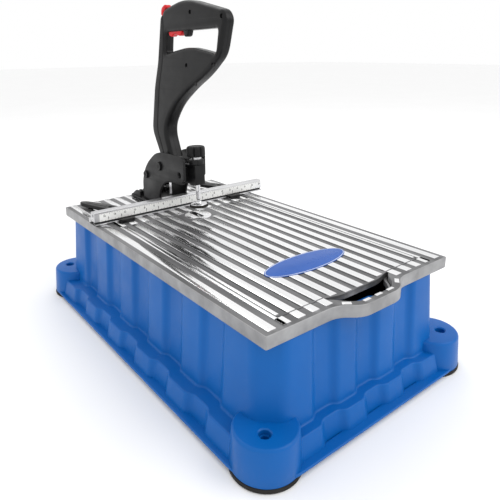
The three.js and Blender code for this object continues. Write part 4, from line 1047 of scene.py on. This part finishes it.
def makePlunger():
    look = clampLook
    y, rod = look["plungerY"], look["rod"]
    low = tableTop + look["padLow"]
    cup = low + look["padThick"] + 0.3
    neck = cup + 6
    top = tableTop + look["blockTop"] - 4
    thread = []
    z = neck + 4
    while z < neck + 20:    # the threaded stretch over the cup
        thread += [(rod, z), (rod - 0.45, z + 0.5)]
        z += 1.0
    ball = [(0, neck - 2.4), (2.2, neck - 2), (3, neck), (2.6, neck + 2), (rod - 0.5, neck + 3.6)]
    shank = turned(ball + thread + [(rod, z), (rod, top - 1), (rod - 1, top), (0, top)], 0, y, 48)
    clampPiece("plungerRod", [(shank, "brightSteel")], "plunger_rod")
    flare = [(0, cup), (15.2, cup), (15.5, cup + 0.4), (15.2, cup + 0.9)]
    for share in (0.25, 0.5, 0.75, 1.0):    # the cup's flared waist
        flare.append((15.2 - 9.9 * share ** 0.45, cup + 0.9 + 3.6 * share ** 2.4))
    flare += [(5.2, neck - 0.4), (4.8, neck), (3.6, neck), (2.6, neck - 2.6), (0, neck - 3)]
    clampPiece("padCup", [(turned(flare, 0, y, 72), "brightSteel")], "pad_cup", smooth=50)
    r, t = look["pad"], look["padThick"]
    pad = turned([(0, low + 0.3), (12, low + 0.3), (12.4, low), (r - 1.4, low), (r - 0.3, low + 0.6),
                  (r, low + 1.6), (r, low + t - 1.4), (r - 0.5, low + t - 0.4),
                  (r - 1.6, low + t), (0, low + t)], 0, y, 96)
    clampPiece("padRubber", [(pad, "footRubber")], "pad_rubber")


makeClampArm()
makeKnob()
makePlunger()
print("clamp made")

# The handle: two moulded halves that meet on the middle plane, with screws let into the left one.
handleLook = {
    "loopHalf": 11,
    "bodyHalf": 15,
    "swell": (222, 286),
    "spine": 0.9,
    "seam": 0.15,
    "screws": ((86, 361), (-3, 350), (102, 274), (24, 276), (74, 243), (170, 180), (184, 142)),
    "screwRadius": 3.6,
    "buttonPocket": 7.3,
    "buttonTravel": (0, 1.6, 3.2),
}


def gripOuter():
    return rounded([
        (200.4, 100), (228, 148, 14), (206, 256, 30), (185, 356, 10), (176, 370, 8), (105, 385, 70),
        (-4, 360, 24), (-13, 346, 14), (3, 291, 16), (46, 259, 26), (100, 232, 30), (150, 198, 34),
        (182.5, 154, 22), (160, 100)], 12)


def gripOpening():
    return rounded([
        (170.5, 331, 9), (176, 293, 9), (140, 299, 20), (96, 305, 40), (52, 299, 20), (17, 293, 9),
        (9, 333, 8)], 10)


def spineOuter():
    return rounded([
        (200.4, 101), (228, 148, 14), (206, 256, 30), (184.6, 357, 8), (177, 362, 6), (173.5, 345, 8),
        (180, 292, 24), (188, 254, 24), (207, 152, 14), (183, 101)], 12)


def flare(z):
    # the sides swell from the grip's thickness to the body's over a smooth stretch under the opening
    low, high = handleLook["swell"]
    t = min(1, max(0, (z - low) / (high - low)))
    narrow = handleLook["loopHalf"] / handleLook["bodyHalf"]
    return 1 + (narrow - 1) * t * t * (3 - 2 * t)


def flared(mesh):
    shaping = bmesh.new()
    shaping.from_mesh(mesh)
    low, high = handleLook["swell"]
    for k in range(9):    # rings of edges for the swell to bend along
        level = tableTop + low + (high - low) * k / 8
        geometry = shaping.verts[:] + shaping.edges[:] + shaping.faces[:]
        bmesh.ops.bisect_plane(shaping, geom=geometry, plane_co=(0, 0, level * mm), plane_no=(0, 0, 1))
    for vert in shaping.verts:
        vert.co.x *= flare(vert.co.z / mm - tableTop)
    shaping.to_mesh(mesh)
    shaping.free()
    return mesh


def halfOf(mesh, side):
    cutting = bmesh.new()
    cutting.from_mesh(mesh)
    geometry = cutting.verts[:] + cutting.edges[:] + cutting.faces[:]
    seam = side * handleLook["seam"] * mm
    done = bmesh.ops.bisect_plane(cutting, geom=geometry, plane_co=(seam, 0, 0), plane_no=(-side, 0, 0),
                                  clear_outer=True)
    edges = [e for e in done["geom_cut"] if isinstance(e, bmesh.types.BMEdge)]
    bmesh.ops.triangle_fill(cutting, use_beauty=True, edges=edges)
    bmesh.ops.recalc_face_normals(cutting, faces=cutting.faces)
    result = bpy.data.meshes.new("half")
    cutting.to_mesh(result)
    cutting.free()
    return result


# The lock-off button's outline, grown and pushed in along its travel to shape the pocket it works in.
def buttonOutline(grow=0.0, travel=0.0):
    corners = [(183.5, 359.5, 3), (190.5, 361, 4), (189, 374, 6), (176, 380, 5), (170, 373.5, 3),
               (182, 367.5, 2)]
    middleY = sum(corner[0] for corner in corners) / len(corners)
    middleZ = sum(corner[1] for corner in corners) / len(corners)
    moved = []
    for y, z, radius in corners:
        out = Vector((y - middleY, z - middleZ)).normalized() * grow
        moved.append((y + out.x - 0.8 * travel, z + out.y - 0.6 * travel, radius))
    return rounded(moved, 10)


def makeHandle():
    look = handleLook
    half = look["bodyHalf"]
    body = flared(sidePlate([gripOuter(), gripOpening()], (-half, half), 8, 8))
    spine = flared(sidePlate([spineOuter()], (-half - look["spine"], half + look["spine"]), 3, 5))
    wells, screws = [], []
    for y, z in look["screws"]:
        face = half * flare(z)
        place = (-face, y, tableTop + z)
        r = look["screwRadius"]
        wells.append(turnedAlong([(0, -1.5), (r + 0.6, -1.5), (r + 0.6, 0), (r, 0.6), (r, 3.6), (0, 3.6)],
                                 across, place, 32))
        seat = (-face + 3.4, y, tableTop + z)
        # painted shade: a near-black disc in each well, under the screw head
        shadow = [(0, 0), (r - 0.1, 0), (r - 0.1, 0.1), (0, 0.1)]
        head = [(0, 0.1), (r * 0.75, 0.1), (r * 0.7, 0.8), (0, 1.1)]
        screws.append((turnedAlong(shadow, (-1, 0, 0), seat, 24), "paintedRecessShade"))
        screws.append((turnedAlong(head, (-1, 0, 0), seat, 24), "coatedBlack"))
    wide = look["buttonPocket"]
    pocket = [sidePlate([buttonOutline(0.3, travel)], (-wide, wide), 0.2, 1)
              for travel in look["buttonTravel"]]
    body = carved(body, wells[:-2] + pocket)
    spine = carved(carved(spine, wells[-2:]), [mesh.copy() for mesh in pocket])
    nubOutline = rounded([(99, 336), (104, 323, 3), (113, 321, 4), (119, 336), (112, 345)])
    nub = sidePlate([nubOutline], (-6, 6), 2, 4)
    for side, node in ((-1, "handle_left"), (1, "handle_right")):
        parts = [(halfOf(mesh, side), "mouldedBlack") for mesh in (body, spine, nub)]
        if side < 0:
            parts += screws
        dress(joined("handle" + node[7:].capitalize(), parts, 40), node)


def makeTrigger():
    pull = sidePlate([rounded([(166, 343), (167, 326, 4), (158, 322, 4), (146, 329, 12), (131, 323, 4),
                               (122.5, 327, 4), (122.5, 342.6), (156, 342.6)], 10)], (-6, 6), 2.2, 5)
    dress(joined("triggerPull", [(pull, "mouldedRed")], 45), "trigger")
    cap = sidePlate([buttonOutline()], (-7, 7), 2.6, 5)
    dress(joined("lockButton", [(cap, "mouldedRed")], 45), "lock_button")


makeHandle()
makeTrigger()
print("handle made")

# Outlet at the back: the hose spigot.
outletLook = {"portRadius": 19, "bore": 16.5}


def makeOutlets():
    low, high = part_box("dust_port")
    x, y, z = (low[0] + high[0]) / 2 / mm, low[1] / mm, (low[2] + high[2]) / 2 / mm
    end = high[1] / mm
    wall = end - 26.5
    r, bore = outletLook["portRadius"], outletLook["bore"]
    profile = [(bore, y), (r, y), (r, wall - 1), (r + 6.4, wall - 1), (r + 7, wall - 0.4),
               (r + 7, wall + 2.4), (r + 6.4, wall + 3), (r + 1, wall + 3), (r, wall + 4)]
    for k in range(3):    # hose barbs
        at = wall + 9 + 5 * k
        profile += [(r - 0.5, at), (r - 0.1, at + 0.6), (r - 0.5, at + 2.6)]
    profile += [(r - 0.5, end - 0.8), (r - 1, end), (bore + 0.4, end), (bore, end - 0.5), (bore, y)]
    spigot = turnedAlong([(radius, at) for radius, at in profile], (0, 1, 0), (x, 0, z), 72)
    dress(joined("dustSpigot", [(spigot, "mouldedBlack")]), "dust_port")


makeOutlets()

# Pieces that keep their CAD shape get the finish that belongs to their slot.
keptFinish = {
    "black_metal": "coatedBlack",
    "black_plastic": "mouldedBlack",
    "bright_steel": "brightSteel",
    "table_alloy": "castAlloy",
    "fence_alloy": "anodisedAlloy",
    "foot_rubber": "footRubber",
    "red_plastic": "mouldedRed",
    "blue_plastic": "mouldedBlue",
    "badge_blue": "badgeBlue",
    "rule_white": "ruleWhite",
}
for nodeName, nodeObject in frame["nodes"].items():
    nodeObject.data.materials.clear()
    nodeObject.data.materials.append(mats[keptFinish[slotOfNode[nodeName]]])
print("kept pieces finished")

studioLook = {
    "world": 1.0,
    "lights": (
        # place, aims at, width, depth, watts
        ((1.1, -1.6, 1.9), (0, 0, 0.15), 1.6, 1.6, 20),
        ((-1.9, -0.4, 1.5), (0, 0, 0.15), 1.2, 1.6, 1.5),
        ((0.2, 1.4, 2.2), (0, 0.1, 0.2), 2.0, 1.0, 12),
    ),
}


def makeStudio():
    bpy.context.scene.view_settings.view_transform = "Standard"
    world = bpy.data.worlds.new("studio")
    bpy.context.scene.world = world
    world.use_nodes = True
    sky = world.node_tree.nodes["Background"]
    sky.inputs["Color"].default_value = (1, 1, 1, 1)
    sky.inputs["Strength"].default_value = studioLook["world"]
    for place, aim, width, depth, watts in studioLook["lights"]:
        lamp = bpy.data.lights.new("softbox", "AREA")
        lamp.shape = "RECTANGLE"
        lamp.size, lamp.size_y, lamp.energy = width, depth, watts
        box = bpy.data.objects.new("softbox", lamp)
        bpy.context.collection.objects.link(box)
        box.location = place
        box.rotation_euler = (Vector(aim) - Vector(place)).to_track_quat("-Z", "Y").to_euler()
    floorMaterial = newMaterial("paleFloor", (0.95, 0.95, 0.95), 0.9, 0, Specular_IOR_Level=0.1)
    mottle(floorMaterial, 3, (0.945, 0.945, 0.945), (0.955, 0.955, 0.955))
    floorMesh = bpy.data.meshes.new("floor")
    floorMesh.from_pydata([(-15, -15, 0), (15, -15, 0), (15, 15, 0), (-15, 15, 0)], [], [(0, 1, 2, 3)])
    floorMesh.materials.append(floorMaterial)
    link("floor", floorMesh)


makeStudio()
